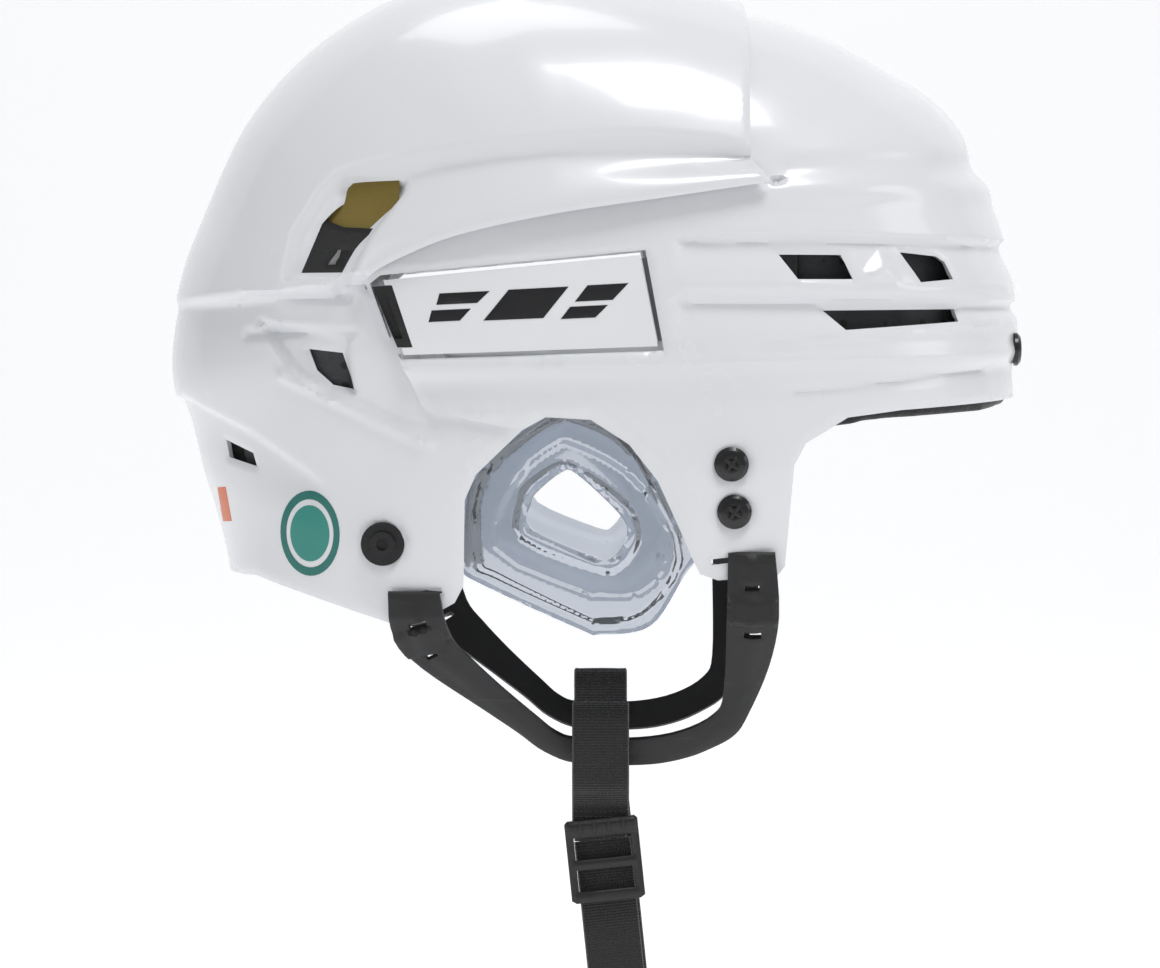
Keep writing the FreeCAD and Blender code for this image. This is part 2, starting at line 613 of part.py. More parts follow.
def chin_webbing_shape():
    """U of webbing from the right-hand buckle, under the chin, up to the left-hand snap."""
    radius = CHIN_ARC_RADIUS
    left = CHIN_Y + 1.5 * size("webbing_thick") + 0.05
    start = Vector(0, -CHIN_Y, BUCKLE_TOP - 6)
    low = Vector(0, -CHIN_Y, CHIN_ARC_TOP)
    swing = radius * math.sqrt(0.5)
    edges = [
        Part.makeLine(start, low),
        Part.Arc(low, Vector(0, -CHIN_Y + radius - swing, CHIN_ARC_TOP - swing),
                 Vector(0, -CHIN_Y + radius, CHIN_ARC_TOP - radius)).toShape(),
        Part.makeLine(Vector(0, -CHIN_Y + radius, CHIN_ARC_TOP - radius),
                      Vector(0, left - radius, CHIN_ARC_TOP - radius)),
        Part.Arc(Vector(0, left - radius, CHIN_ARC_TOP - radius),
                 Vector(0, left - radius + swing, CHIN_ARC_TOP - swing),
                 Vector(0, left, CHIN_ARC_TOP)).toShape(),
        Part.makeLine(Vector(0, left, CHIN_ARC_TOP), Vector(0, left, CHIN_LOOP_END + 4)),
    ]
    return band(edges, size("webbing_thick"), size("webbing_width"))


def loop_shape(end):
    """Webbing folded over a side strap's lower bar: two layers that meet and are sewn below it."""
    thick = size("webbing_thick")
    reach = LOOP_ROOM / 2
    low = CHIN_TOP - LOOP_DEPTH
    half = ((0, CHIN_TOP), (reach + thick, CHIN_TOP), (reach + thick, low), (thick, low - 7), (thick, end))
    outline = half + tuple((-y, z) for y, z in reversed(half))
    room = ((-reach, CHIN_TOP - thick), (reach, CHIN_TOP - thick), (reach, low), (0, low - 6), (-reach, low))
    return x_prism(outline).cut(x_prism(room))


def x_prism(points):
    """A (Y, Z) outline run along X for the webbing's width."""
    corners = [Vector(0, y, z) for y, z in points]
    return Part.Face(Part.makePolygon(corners + corners[:1])).extrude(Vector(size("webbing_width"), 0, 0))


def leaned(shape):
    """Chin pieces lean forwards together about the side straps' bars."""
    pivot = Vector(0, 0, BUCKLE_TOP)
    turn = Rotation(Vector(0, 1, 0), -CHIN_LEAN)
    shape.Placement = Placement(pivot - turn.multVec(pivot), turn).multiply(shape.Placement)
    return shape


def chin_strap():
    """Loops, webbing, buckle and snap that hang from the two side straps."""
    thick = size("webbing_thick")
    width = size("webbing_width")
    start = CHIN_X - width / 2
    right_loop = loop_shape(CHIN_LOOP_END)
    right_loop.translate(Vector(start, -CHIN_Y, 0))
    left_loop = loop_shape(CHIN_LOOP_END - 18)
    left_loop.translate(Vector(start, CHIN_Y, 0))
    webbing = chin_webbing_shape()
    webbing.translate(Vector(start, 0, 0))
    parts = [
        feature("right_chin_loop", right_loop),
        feature("left_chin_loop", left_loop),
        feature("chin_webbing", leaned(webbing)),
    ]
    return parts + [chin_buckle(start - (size("buckle_width") - width) / 2, thick)] + chin_snap(thick)


def chin_buckle(start, thick):
    """Ladder buckle: a frame with two windows that the webbing threads through."""
    body = DOC.addObject("PartDesign::Body", "chin_buckle")
    body.Label = "chin_buckle"
    sketch = body.newObject("Sketcher::SketchObject", "buckle_outline")
    attach(sketch, body, "XZ_Plane")
    wide = "Sizes.buckle_width"
    tall = "Sizes.buckle_height"
    bound_polygon(sketch, (("0", "0"), (wide, "0"), (wide, f"-{tall}"), ("0", f"-{tall}")))
    side = f"({wide} - Sizes.buckle_window_width) / 2"
    far = f"({wide} + Sizes.buckle_window_width) / 2"
    for top in (f"-{tall} * 0.2", f"-{tall} * 0.6"):
        low = f"{top} - Sizes.buckle_window_height"
        bound_polygon(sketch, ((side, top), (far, top), (far, low), (side, low)))
    plate = body.newObject("PartDesign::Pad", "buckle_pad")
    plate.Profile = sketch
    plate.setExpression("Length", "Sizes.buckle_thick")
    DOC.recompute()
    place = Vector(start, -CHIN_Y - 1.2 * thick, BUCKLE_TOP)
    body.Placement = Placement(place, Rotation(Vector(0, 1, 0), -CHIN_LEAN))
    return body


def chin_snap(thick):
    """Snap on the left: a cap outside the webbing and a post on the loop behind it."""
    x = CHIN_X + 0.6
    z = CHIN_LOOP_END - 8
    face = CHIN_Y + 2 * thick + 0.1
    cap = y_cylinder(size("cap_radius"), x, z, face, face + size("cap_thick"))
    post = y_cylinder(size("post_radius"), x, z, CHIN_Y - thick - size("post_height"), CHIN_Y - thick)
    return [feature("chin_snap_cap", cap), feature("chin_snap_post", post)]


def check(parts):
    """Stop unless every object is sound."""
    for item in DOC.Objects:
        states = set(item.State)
        assert not states & {"Invalid", "Error"}, (item.Label, item.State)
    for part in parts:
        assert not part.Shape.isNull() and part.Shape.isValid(), part.Label
        assert part.Shape.Solids, part.Label


def main():
    parts = [rear_shell(), front_shell()]
    parts += lock_parts()
    parts += screws_and_nuts()
    parts += snap_studs()
    parts += ear_guards()
    parts += liner()
    parts += side_straps()
    parts += chin_strap()
    DOC.recompute()
    check(parts)
    os.makedirs("parts", exist_ok=True)
    for part in parts:
        part.Shape.exportStep(f"parts/{part.Label}.step")
        print(part.Label, len(part.Shape.Solids), round(part.Shape.Volume / 1000, 2))


main()
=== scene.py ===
"""Two-piece ice hockey helmet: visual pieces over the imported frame, in metres."""

from __future__ import annotations

import json
import logging
import math
from dataclasses import dataclass, field
from enum import Enum
from typing import Callable, Sequence

import bmesh
import bpy
import numpy as np
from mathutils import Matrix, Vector
from mathutils.bvhtree import BVHTree
from mathutils.geometry import delaunay_2d_cdt
from mathutils.kdtree import KDTree


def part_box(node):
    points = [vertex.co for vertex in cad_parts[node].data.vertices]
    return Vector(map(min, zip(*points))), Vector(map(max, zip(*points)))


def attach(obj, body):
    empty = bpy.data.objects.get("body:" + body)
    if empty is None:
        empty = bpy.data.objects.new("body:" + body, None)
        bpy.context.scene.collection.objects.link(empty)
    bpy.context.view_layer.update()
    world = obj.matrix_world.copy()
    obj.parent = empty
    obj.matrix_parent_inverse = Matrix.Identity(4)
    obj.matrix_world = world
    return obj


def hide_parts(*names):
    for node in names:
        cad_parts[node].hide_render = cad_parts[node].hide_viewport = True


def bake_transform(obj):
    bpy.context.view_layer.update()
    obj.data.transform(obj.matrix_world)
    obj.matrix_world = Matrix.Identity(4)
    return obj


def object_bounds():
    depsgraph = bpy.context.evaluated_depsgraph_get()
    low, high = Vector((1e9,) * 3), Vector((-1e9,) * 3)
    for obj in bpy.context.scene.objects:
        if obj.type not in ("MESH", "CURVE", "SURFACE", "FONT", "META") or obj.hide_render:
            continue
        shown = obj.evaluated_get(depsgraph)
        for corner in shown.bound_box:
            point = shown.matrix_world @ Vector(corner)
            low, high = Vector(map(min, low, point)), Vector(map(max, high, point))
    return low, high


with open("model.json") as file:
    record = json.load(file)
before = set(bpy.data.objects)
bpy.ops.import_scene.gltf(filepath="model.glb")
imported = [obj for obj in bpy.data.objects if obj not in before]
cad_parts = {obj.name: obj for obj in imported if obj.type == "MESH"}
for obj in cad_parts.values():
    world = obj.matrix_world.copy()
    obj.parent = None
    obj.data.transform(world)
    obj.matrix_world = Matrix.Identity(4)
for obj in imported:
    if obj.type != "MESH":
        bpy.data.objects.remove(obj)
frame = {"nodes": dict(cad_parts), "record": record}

LOG = logging.getLogger("helmet")
MM = 0.001
Point = tuple[float, float]
Path = Sequence[Point]
CAD_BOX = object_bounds()

BACK: Path = (
    (-118, -95), (-125, -50), (-134.5, -18), (-143, 8), (-139.5, 38), (-131, 62), (-116, 93.5), (-94, 118),
)
SKIRT: Path = ((128, -90), (95, -135), (45, -160), (-10, -166), (-65, -155), (-100, -128))
REAR_TOP: Path = (
    (-66, 135), (-36, 142.4), (-14, 143.2), (10, 141.8), (30, 138.6), (48.7, 133.5),
    (76, 124), (105, 108), (126, 84), (139, 45), (143, 20), (142, -30),
)
FRONT_TOP: Path = (
    (-66, 125), (-20, 129.6), (15, 129.8), (49, 129.6), (76.5, 121.7), (98.5, 110), (113, 101), (123, 90),
    (126.5, 80), (131.5, 70), (137, 56), (141, 38), (142.4, 20), (141, -30),
)
SEAM: Path = ((50, 170), (50, 84), (56, 72))
RIDGE: Path = ((21, 66.7), (-13, 61.6), (-44, 54.7), (-64.5, 46.4), (-73.7, 40.7))
ARM_END: Path = ((-73.7, 40.7), (-62.6, 16.7), (-55.6, 0.5), (-52, -1.5))
EAR_REAR: Path = ((-23.4, -7.8), (-37.9, -21.7), (-41.6, -30), (-42.1, -57.9))
REAR_LOBE: Path = (
    (-45, -63.5), (-49, -65.8), (-52, -72.2), (-65, -70.9), (-94, -62), (-112, -57), (-122.4, -57.5),
)
EAR_FRONT: Path = ((-15.4, -3), (-1, -3.8), (11.2, -11.6), (20.4, -23.3), (28, -40), (31.2, -47.7))
FRONT_LOBE: Path = ((34, -53.3), (39.7, -55.3), (58.7, -54.2), (61.3, -50.9), (64.1, -18.5))
BROW: Path = ((68, -11.5), (82, -3.4), (100, -1.2), (139, 1.2), (150, 1.2))
REAR_SLOT: Path = ((-64.5, -61.5), (-49.5, -58.5), (-49.1, -60.3), (-64.1, -63.3))
FRONT_SLOT: Path = ((37.5, -48.5), (55.5, -46.5), (55.7, -48.3), (37.7, -50.3))
FRONT_VENTS: tuple[Path, ...] = (
    ((59.4, 49), (65.2, 41), (83, 41), (79.8, 49)),
    ((99.9, 50), (112.4, 48.7), (115, 46.8), (116.9, 41), (105.7, 40)),
    ((73.8, 31), (118.7, 31.4), (118.7, 27.2), (80.8, 24.7)),
)
REAR_VENTS: tuple[Path, ...] = (
    ((-95.3, 43.5), (-88.6, 59.2), (-79.5, 69), (-65, 71.5), (-75.5, 54.4), (-81.5, 43.5)),
    ((-93.9, 18.4), (-82.4, 17.1), (-78.3, 5), (-85.6, 6.3), (-91, 11)),
    ((-124, -12.8), (-114.1, -16.8), (-112.5, -21), (-122.3, -18.4)),
)
SIDE_SCREWS: Path = ((43.8, -17.9), (44.8, -33.1))

REAR_HALF = 104.5
FRONT_HALF = 98.4
SKIRT_HALF = 95.1
SKIRT_INSET = 1.2
MEAN_RADIUS = 120.0
GUARD_FACE = -88.8
STRAP_FACE = -89.4
STRAP_FOLD = -68.0


class Side(Enum):
    """Wearer's side of a piece: the value is the sign of Y."""

    RIGHT = -1
    LEFT = 1


class Pattern(Enum):
    """Fine surface pattern of a finish."""

    PLAIN = "plain"
    WEAVE = "weave"
    FOAM = "foam"


def shade_group(name: str, outputs: dict[str, str], inputs: dict[str, float]) -> bpy.types.NodeTree:
    """Make an empty shader node group.

    Args:
        name: Name of the group.
        outputs: Output names with their socket types.
        inputs: Input names with their default values.

    Returns:
        The node tree with its sockets.
    """
    tree = bpy.data.node_groups.new(name, "ShaderNodeTree")
    for label, kind in outputs.items():
        tree.interface.new_socket(label, in_out="OUTPUT", socket_type=kind)
    for label, value in inputs.items():
        socket = tree.interface.new_socket(label, in_out="INPUT", socket_type="NodeSocketFloat")
        socket.default_value = value
    tree.nodes.new("NodeGroupInput")
    tree.nodes.new("NodeGroupOutput")
    return tree


def grain_group() -> bpy.types.NodeTree:
    """Return the shared moulding grain: a fine height and a slow variation mask.

    Returns:
        The node tree, with outputs Height and Mask.
    """
    tree = shade_group(
        "moulding_grain", {"Height": "NodeSocketFloat", "Mask": "NodeSocketFloat"},
        {"Scale": 900.0, "Patch": 28.0},
    )
    nodes, links = tree.nodes, tree.links
    source, sink = nodes["Group Input"], nodes["Group Output"]
    where = nodes.new("ShaderNodeTexCoord")
    fine = nodes.new("ShaderNodeTexNoise")
    fine.inputs["Detail"].default_value = 3.0
    slow = nodes.new("ShaderNodeTexNoise")
    slow.inputs["Detail"].default_value = 5.0
    for noise, label in ((fine, "Scale"), (slow, "Patch")):
        links.new(where.outputs["Object"], noise.inputs["Vector"])
        links.new(source.outputs[label], noise.inputs["Scale"])
    links.new(fine.outputs["Fac"], sink.inputs["Height"])
    links.new(slow.outputs["Fac"], sink.inputs["Mask"])
    return tree


def scuff_group() -> bpy.types.NodeTree:
    """Return the shared wear effect: thin scratches and small scuffs as one mask.

    Returns:
        The node tree, with the output Mask.
    """
    tree = shade_group("handling_scuffs", {"Mask": "NodeSocketFloat"}, {"Scale": 45.0, "Amount": 0.5})
    nodes, links = tree.nodes, tree.links
    source, sink = nodes["Group Input"], nodes["Group Output"]
    where = nodes.new("ShaderNodeTexCoord")
    stretch = nodes.new("ShaderNodeMapping")
    stretch.inputs["Rotation"].default_value = (0.4, 0.7, 0.3)
    stretch.inputs["Scale"].default_value = (1.0, 6.0, 14.0)
    noise = nodes.new("ShaderNodeTexNoise")
    noise.inputs["Detail"].default_value = 6.0
    ramp = nodes.new("ShaderNodeMapRange")
    ramp.inputs["From Min"].default_value = 0.62
    ramp.inputs["From Max"].default_value = 0.74
    scale = nodes.new("ShaderNodeMath")
    scale.operation = "MULTIPLY"
    links.new(where.outputs["Object"], stretch.inputs["Vector"])
    links.new(stretch.outputs["Vector"], noise.inputs["Vector"])
    links.new(source.outputs["Scale"], noise.inputs["Scale"])
    links.new(noise.outputs["Fac"], ramp.inputs["Value"])
    links.new(ramp.outputs["Result"], scale.inputs[0])
    links.new(source.outputs["Amount"], scale.inputs[1])
    links.new(scale.outputs["Value"], sink.inputs["Mask"])
    return tree


def weave_group() -> bpy.types.NodeTree:
    """Return the shared webbing weave, which follows a strap's UV map in millimetres.

    Returns:
        The node tree, with the output Height.
    """
    tree = shade_group("webbing_weave", {"Height": "NodeSocketFloat"}, {"Pitch": 3.4})
    nodes, links = tree.nodes, tree.links
    source, sink = nodes["Group Input"], nodes["Group Output"]
    where = nodes.new("ShaderNodeTexCoord")
    split = nodes.new("ShaderNodeSeparateXYZ")
    links.new(where.outputs["UV"], split.inputs["Vector"])
    waves = []
    for combine in ("ADD", "SUBTRACT"):
        total = nodes.new("ShaderNodeMath")
        total.operation = combine
        links.new(split.outputs["X"], total.inputs[0])
        links.new(split.outputs["Y"], total.inputs[1])
        pitch = nodes.new("ShaderNodeMath")
        pitch.operation = "MULTIPLY"
        links.new(total.outputs["Value"], pitch.inputs[0])
        links.new(source.outputs["Pitch"], pitch.inputs[1])
        wave = nodes.new("ShaderNodeMath")
        wave.operation = "SINE"
        links.new(pitch.outputs["Value"], wave.inputs[0])
        waves.append(wave)
    product = nodes.new("ShaderNodeMath")
    product.operation = "MULTIPLY"
    links.new(waves[0].outputs["Value"], product.inputs[0])
    links.new(waves[1].outputs["Value"], product.inputs[1])
    links.new(product.outputs["Value"], sink.inputs["Height"])
    return tree


def foam_group() -> bpy.types.NodeTree:
    """Return the shared foam skin: cell bumps and a grid of small punched holes, whose mask paints shade in the
    holes.

    Returns:
        The node tree, with outputs Height and Holes.
    """
    tree = shade_group(
        "foam_skin", {"Height": "NodeSocketFloat", "Holes": "NodeSocketFloat"}, {"Cells": 420.0, "Punch": 150.0}
    )
    nodes, links = tree.nodes, tree.links
    source, sink = nodes["Group Input"], nodes["Group Output"]
    where = nodes.new("ShaderNodeTexCoord")
    cells = nodes.new("ShaderNodeTexVoronoi")
    punch = nodes.new("ShaderNodeTexVoronoi")
    punch.inputs["Randomness"].default_value = 0.0
    edge = nodes.new("ShaderNodeMapRange")
    edge.inputs["From Min"].default_value = 0.16
    edge.inputs["From Max"].default_value = 0.24
    for texture, label in ((cells, "Cells"), (punch, "Punch")):
        links.new(where.outputs["Object"], texture.inputs["Vector"])
        links.new(source.outputs[label], texture.inputs["Scale"])
    links.new(cells.outputs["Distance"], sink.inputs["Height"])
    links.new(punch.outputs["Distance"], edge.inputs["Value"])
    links.new(edge.outputs["Result"], sink.inputs["Holes"])
    return tree


class Effects:
    """The shader groups that several finishes share, each made once."""

    def __init__(self) -> None:
        """Make every group."""
        self.grain = grain_group()
        self.scuffs = scuff_group()
        self.weave = weave_group()
        self.foam = foam_group()


@dataclass(frozen=True)
class Finish:
    """One surface finish, with the colour and gloss that its material gets."""

    name: str
    color: tuple[float, float, float]
    roughness: float
    pattern: Pattern = Pattern.PLAIN
    shade: float = 0.9
    bump: float = 0.05
    metallic: float = 0.0
    coat: float = 0.0
    transmission: float = 0.0
    sheen: float = 0.0
    grain: float = 900.0
    wear: float = 0.3

    def material(self, effects: Effects) -> bpy.types.Material:
        """Build the material.

        Args:
            effects: The shared shader groups.

        Returns:
            The finished material.
        """
        material = bpy.data.materials.new(self.name)
        material.use_nodes = True
        nodes, links = material.node_tree.nodes, material.node_tree.links
        surface = nodes["Principled BSDF"]
        surface.inputs["Metallic"].default_value = self.metallic
        surface.inputs["Transmission Weight"].default_value = self.transmission
        surface.inputs["Coat Weight"].default_value = self.coat
        surface.inputs["Coat Roughness"].default_value = 0.08
        surface.inputs["Sheen Weight"].default_value = self.sheen
        grain = self.place(nodes, effects.grain, {"Scale": self.grain})
        scuffs = self.place(nodes, effects.scuffs, {"Amount": self.wear})
        tint = self.mix(nodes, self.color, tuple(c * self.shade for c in self.color))
        links.new(grain.outputs["Mask"], tint.inputs["Factor"])
        worn = self.mix(nodes, None, tuple(min(1.0, c * 0.8 + 0.05) for c in self.color))
        links.new(tint.outputs[2], worn.inputs[6])
        links.new(scuffs.outputs["Mask"], worn.inputs["Factor"])
        last = worn
        height = grain.outputs["Height"]
        if self.pattern is Pattern.WEAVE:
            height = self.place(nodes, effects.weave, {}).outputs["Height"]
        if self.pattern is Pattern.FOAM:
            foam = self.place(nodes, effects.foam, {})
            height = foam.outputs["Height"]
            # Painted shade: the punched holes get a quarter of the colour, standing in for the shade inside
            # them.
            last = self.mix(nodes, tuple(c * 0.25 for c in self.color), None)
            links.new(worn.outputs[2], last.inputs[7])
            links.new(foam.outputs["Holes"], last.inputs["Factor"])
        links.new(last.outputs[2], surface.inputs["Base Color"])
        gloss = nodes.new("ShaderNodeMapRange")
        gloss.inputs["To Min"].default_value = self.roughness * 0.8
        gloss.inputs["To Max"].default_value = min(1.0, self.roughness * 1.3)
        links.new(grain.outputs["Mask"], gloss.inputs["Value"])
        links.new(gloss.outputs["Result"], surface.inputs["Roughness"])
        bump = nodes.new("ShaderNodeBump")
        bump.inputs["Strength"].default_value = self.bump
        bump.inputs["Distance"].default_value = 0.0006
        links.new(height, bump.inputs["Height"])
        links.new(bump.outputs["Normal"], surface.inputs["Normal"])
        return material

    @staticmethod
    def place(
        nodes: bpy.types.Nodes, tree: bpy.types.NodeTree, values: dict[str, float],
    ) -> bpy.types.Node:
        """Place a shared group in a material with its own values.

        Args:
            nodes: The material's nodes.
            tree: The shared group.
            values: Input values by name.

        Returns:
            The group node.
        """
        node = nodes.new("ShaderNodeGroup")
        node.node_tree = tree
        for label, value in values.items():
            node.inputs[label].default_value = value
        return node

    @staticmethod
    def mix(
        nodes: bpy.types.Nodes, low: Sequence[float] | None, high: Sequence[float] | None,
    ) -> bpy.types.Node:
        """Add a colour mix node.

        Args:
            nodes: The material's nodes.
            low: First colour, if it isn't linked.
            high: Second colour, if it isn't linked.

        Returns:
            The mix node.
        """
        node = nodes.new("ShaderNodeMix")
        node.data_type = "RGBA"
        if low is not None:
            node.inputs[6].default_value = (*low, 1.0)
        if high is not None:
            node.inputs[7].default_value = (*high, 1.0)
        return node


FINISHES: dict[str, Finish] = {
    "white_shell": Finish("gloss_white_shell", (0.80, 0.81, 0.83), 0.24, Pattern.PLAIN, 0.965, 0.03, coat=0.35,
                          grain=420.0, wear=0.0),
    "white_lever": Finish("gloss_white_lever", (0.84, 0.85, 0.86), 0.2, Pattern.PLAIN, 0.97, 0.03, coat=0.4,
                          grain=420.0, wear=0.0),
    "black_grip": Finish("black_grip_plastic", (0.012, 0.012, 0.013), 0.42, Pattern.PLAIN, 0.7, 0.25, wear=0.3),
    "steel": Finish("zinc_steel", (0.6, 0.6, 0.62), 0.3, Pattern.PLAIN, 0.85, 0.08, metallic=1.0),
    "grey_plastic": Finish("grey_rack_plastic", (0.3, 0.31, 0.32), 0.45, Pattern.PLAIN, 0.9, 0.1),
    "black_hardware": Finish("black_oxide_hardware", (0.02, 0.02, 0.021), 0.28, Pattern.PLAIN, 0.75, 0.1,
                             metallic=0.35, coat=0.3),
    "clear_guard": Finish("clear_smoky_guard", (0.60, 0.64, 0.70), 0.05, Pattern.PLAIN, 0.96, 0.01,
                          transmission=0.93, wear=0.1),
    "gold_insert": Finish("olive_gold_insert", (0.21, 0.155, 0.03), 0.34, Pattern.PLAIN, 0.8, 0.1,
                          metallic=0.45),
    "black_foam": Finish("black_brow_foam", (0.016, 0.016, 0.017), 0.75, Pattern.FOAM, 0.8, 0.25, sheen=0.15),
    "dark_foam": Finish("dark_liner_foam", (0.045, 0.047, 0.05), 0.7, Pattern.FOAM, 0.85, 0.3, sheen=0.1),
    "moulded_strap": Finish("moulded_strap_rubber", (0.017, 0.017, 0.018), 0.5, Pattern.PLAIN, 0.8, 0.12),
    "webbing": Finish("black_webbing", (0.02, 0.02, 0.021), 0.8, Pattern.WEAVE, 0.8, 0.55, sheen=0.25),
    "black_buckle": Finish("black_buckle_plastic", (0.015, 0.015, 0.016), 0.38, Pattern.PLAIN, 0.8, 0.15),
}


def outline_radius(knots: Path, center: Point) -> Callable[[np.ndarray], np.ndarray]:
    """Fit a smooth closed outline through given points.

    Args:
        knots: Points of the outline, in order.
        center: Point that the outline is seen from.

    Returns:
        A function from an angle to the outline's distance from the centre.
    """
    pts = np.array(knots, float) - np.array(center)
    fine = []
    count = len(pts)
    for i in range(count):
        a, b, c, d = (pts[(i + k) % count] for k in (-1, 0, 1, 2))
        for t in np.linspace(0, 1, 16, endpoint=False):
            fine.append(0.5 * (2 * b + (c - a) * t + (2 * a - 5 * b + 4 * c - d) * t**2
                               + (3 * b - a - 3 * c + d) * t**3))
    fine = np.array(fine)
    angle = np.arctan2(fine[:, 1], fine[:, 0])
    radius = np.hypot(fine[:, 0], fine[:, 1])
    order = np.argsort(angle)
    angle, radius = angle[order], radius[order]
    angle = np.concatenate([angle - 2 * np.pi, angle, angle + 2 * np.pi])
    radius = np.tile(radius, 3)
    return lambda phi: np.interp(phi, angle, radius)


@dataclass
class Skin:
    """A rounded closed surface: side outline, half width and how square it is."""

    knots: Path
    half_width: float
    inset: float = 0.0
    power: float = 2.6
    center: Point = (0.0, 30.0)
    radius: Callable[[np.ndarray], np.ndarray] = field(init=False)

    def __post_init__(self) -> None:
        """Fit the outline."""
        self.radius = outline_radius(self.knots, self.center)

    def share(self, xz: np.ndarray) -> np.ndarray:
        """Return how far each side point lies from the centre, as a share of the outline.

        Args:
            xz: Side points, one row each.

        Returns:
            One share for each point.
        """
        d = xz - np.array(self.center)
        return np.hypot(d[:, 0], d[:, 1]) / (self.radius(np.arctan2(d[:, 1], d[:, 0])) - self.inset)

    def surface(self, phi: np.ndarray, t: np.ndarray) -> np.ndarray:
        """Return points (x, y, z) on the left half for an angle and a share of the outline.

        Args:
            phi: Angles about the centre.
            t: Shares of the outline, 0 at the centre and 1 at the middle line.

        Returns:
            Points in millimetres, one row each.
        """
        r = t * (self.radius(phi) - self.inset)
        y = self.half_width * np.maximum(0.0, 1 - t**self.power) ** (1 / self.power)
        return np.stack([self.center[0] + r * np.cos(phi), y, self.center[1] + r * np.sin(phi)], 1)


class Unroll:
    """Even flat map of half a skin: angle stays, the share of the outline becomes arc length."""

    def __init__(self, skin: Skin) -> None:
        """Tabulate arc length against the share of the outline for one skin."""
        self.skin = skin
        a = np.linspace(0, np.pi / 2, 400)
        self.t = np.sin(a) ** (2 / skin.power)
        y = skin.half_width * np.cos(a) ** (2 / skin.power)
        steps = np.hypot(np.diff(self.t * MEAN_RADIUS), np.diff(y))
        self.length = np.concatenate([[0.0], np.cumsum(steps)])

    @property
    def rim(self) -> float:
        """Flat radius of the middle line."""
        return float(self.length[-1])

    def flat(self, xz: np.ndarray) -> np.ndarray:
        """Return flat coordinates of side points.

        Args:
            xz: Side points, one row each.

        Returns:
            Flat coordinates, one row each.
        """
        d = xz - np.array(self.skin.center)
        phi = np.arctan2(d[:, 1], d[:, 0])
        rho = np.interp(np.clip(self.skin.share(xz), 0, 1), self.t, self.length)
        return np.stack([rho * np.cos(phi), rho * np.sin(phi)], 1)

    def polar(self, uv: np.ndarray) -> tuple[np.ndarray, np.ndarray]:
        """Return the angle and the share of the outline at flat points.

        Args:
            uv: Flat coordinates, one row each.

        Returns:
            The angles, and the shares of the outline.
        """
        phi = np.arctan2(uv[:, 1], uv[:, 0])
        t = np.interp(np.hypot(uv[:, 0], uv[:, 1]), self.length, self.t)
        return phi, t

    def side(self, uv: np.ndarray) -> np.ndarray:
        """Return side coordinates of flat points.

        Args:
            uv: Flat coordinates, one row each.

        Returns:
            Side points, one row each.
        """
        phi, t = self.polar(uv)
        r = t * (self.skin.radius(phi) - self.skin.inset)
        return np.stack([self.skin.center[0] + r * np.cos(phi), self.skin.center[1] + r * np.sin(phi)], 1)


def inside(points: np.ndarray, polygon: Path) -> np.ndarray:
    """Tell which points lie inside a polygon.

    Args:
        points: Points to test, one row each.
        polygon: Closed outline.

    Returns:
        True for each point inside.
    """
    x, z = points[:, 0], points[:, 1]
    found = np.zeros(len(points), bool)
    ring = np.array(polygon, float)
    for (x0, z0), (x1, z1) in zip(ring, np.roll(ring, -1, 0)):
        crosses = (z0 > z) != (z1 > z)
        with np.errstate(divide="ignore", invalid="ignore"):
            found ^= crosses & (x < (x1 - x0) * (z - z0) / (z1 - z0) + x0)
    return found


def distance(points: np.ndarray, path: Path, closed: bool = False) -> np.ndarray:
    """Return each point's distance to a line of straight runs.

    Args:
        points: Points, one row each.
        path: Corners of the line.
        closed: Whether the line returns to its start.

    Returns:
        One distance for each point.
    """
    line = np.array(path, float)
    ends = np.roll(line, -1, 0) if closed else line[1:]
    best = np.full(len(points), 1e9)
    for a, b in zip(line, ends):
        run = b - a
        t = np.clip(((points - a) @ run) / max(run @ run, 1e-9), 0, 1)
        best = np.minimum(best, np.linalg.norm(points - a - t[:, None] * run, axis=1))
    return best


def ease(value: np.ndarray) -> np.ndarray:
    """Return a smooth step from 0 to 1.

    Args:
        value: Values; below 0 counts as 0 and above 1 as 1.

    Returns:
        The eased values.
    """
    v = np.clip(value, 0, 1)
    return v * v * (3 - 2 * v)


def circle(center: Point, radius: float, count: int = 28) -> Path:
    """Return a closed round outline.

    Args:
        center: Middle of the circle.
        radius: Its radius.
        count: Number of points.

    Returns:
        The outline.
    """
    turns = [2 * math.pi * i / count for i in range(count)]
    return tuple((center[0] + radius * math.cos(a), center[1] + radius * math.sin(a)) for a in turns)


def curved(path: Path, closed: bool = True, steps: int = 5) -> Path:
    """Return a smooth line through the points of a path.

    Args:
        path: Points that the line passes through.
        closed: Whether it returns to its start.
        steps: Runs between two points.

    Returns:
        The smooth line.
    """
    pts = np.array(path, float)
    count = len(pts)
    made = []
    for i in range(count if closed else count - 1):
        if closed:
            a, b, c, d = (pts[(i + k) % count] for k in (-1, 0, 1, 2))
        else:
            a, b, c, d = (pts[min(max(i + k, 0), count - 1)] for k in (-1, 0, 1, 2))
        for t in np.linspace(0, 1, steps, endpoint=False):
            made.append(0.5 * (2 * b + (c - a) * t + (2 * a - 5 * b + 4 * c - d) * t**2
                               + (3 * b - a - 3 * c + d) * t**3))
    if not closed:
        made.append(pts[-1])
    return tuple((float(x), float(z)) for x, z in made)


def line_height(points: np.ndarray, path: Path) -> np.ndarray:
    """Return the height of a line of runs at each point's X.

    Args:
        points: Points, one row each.
        path: Corners of the line.

    Returns:
        One height for each point.
    """
    line = np.array(sorted(path), float)
    return np.interp(points[:, 0], line[:, 0], line[:, 1])


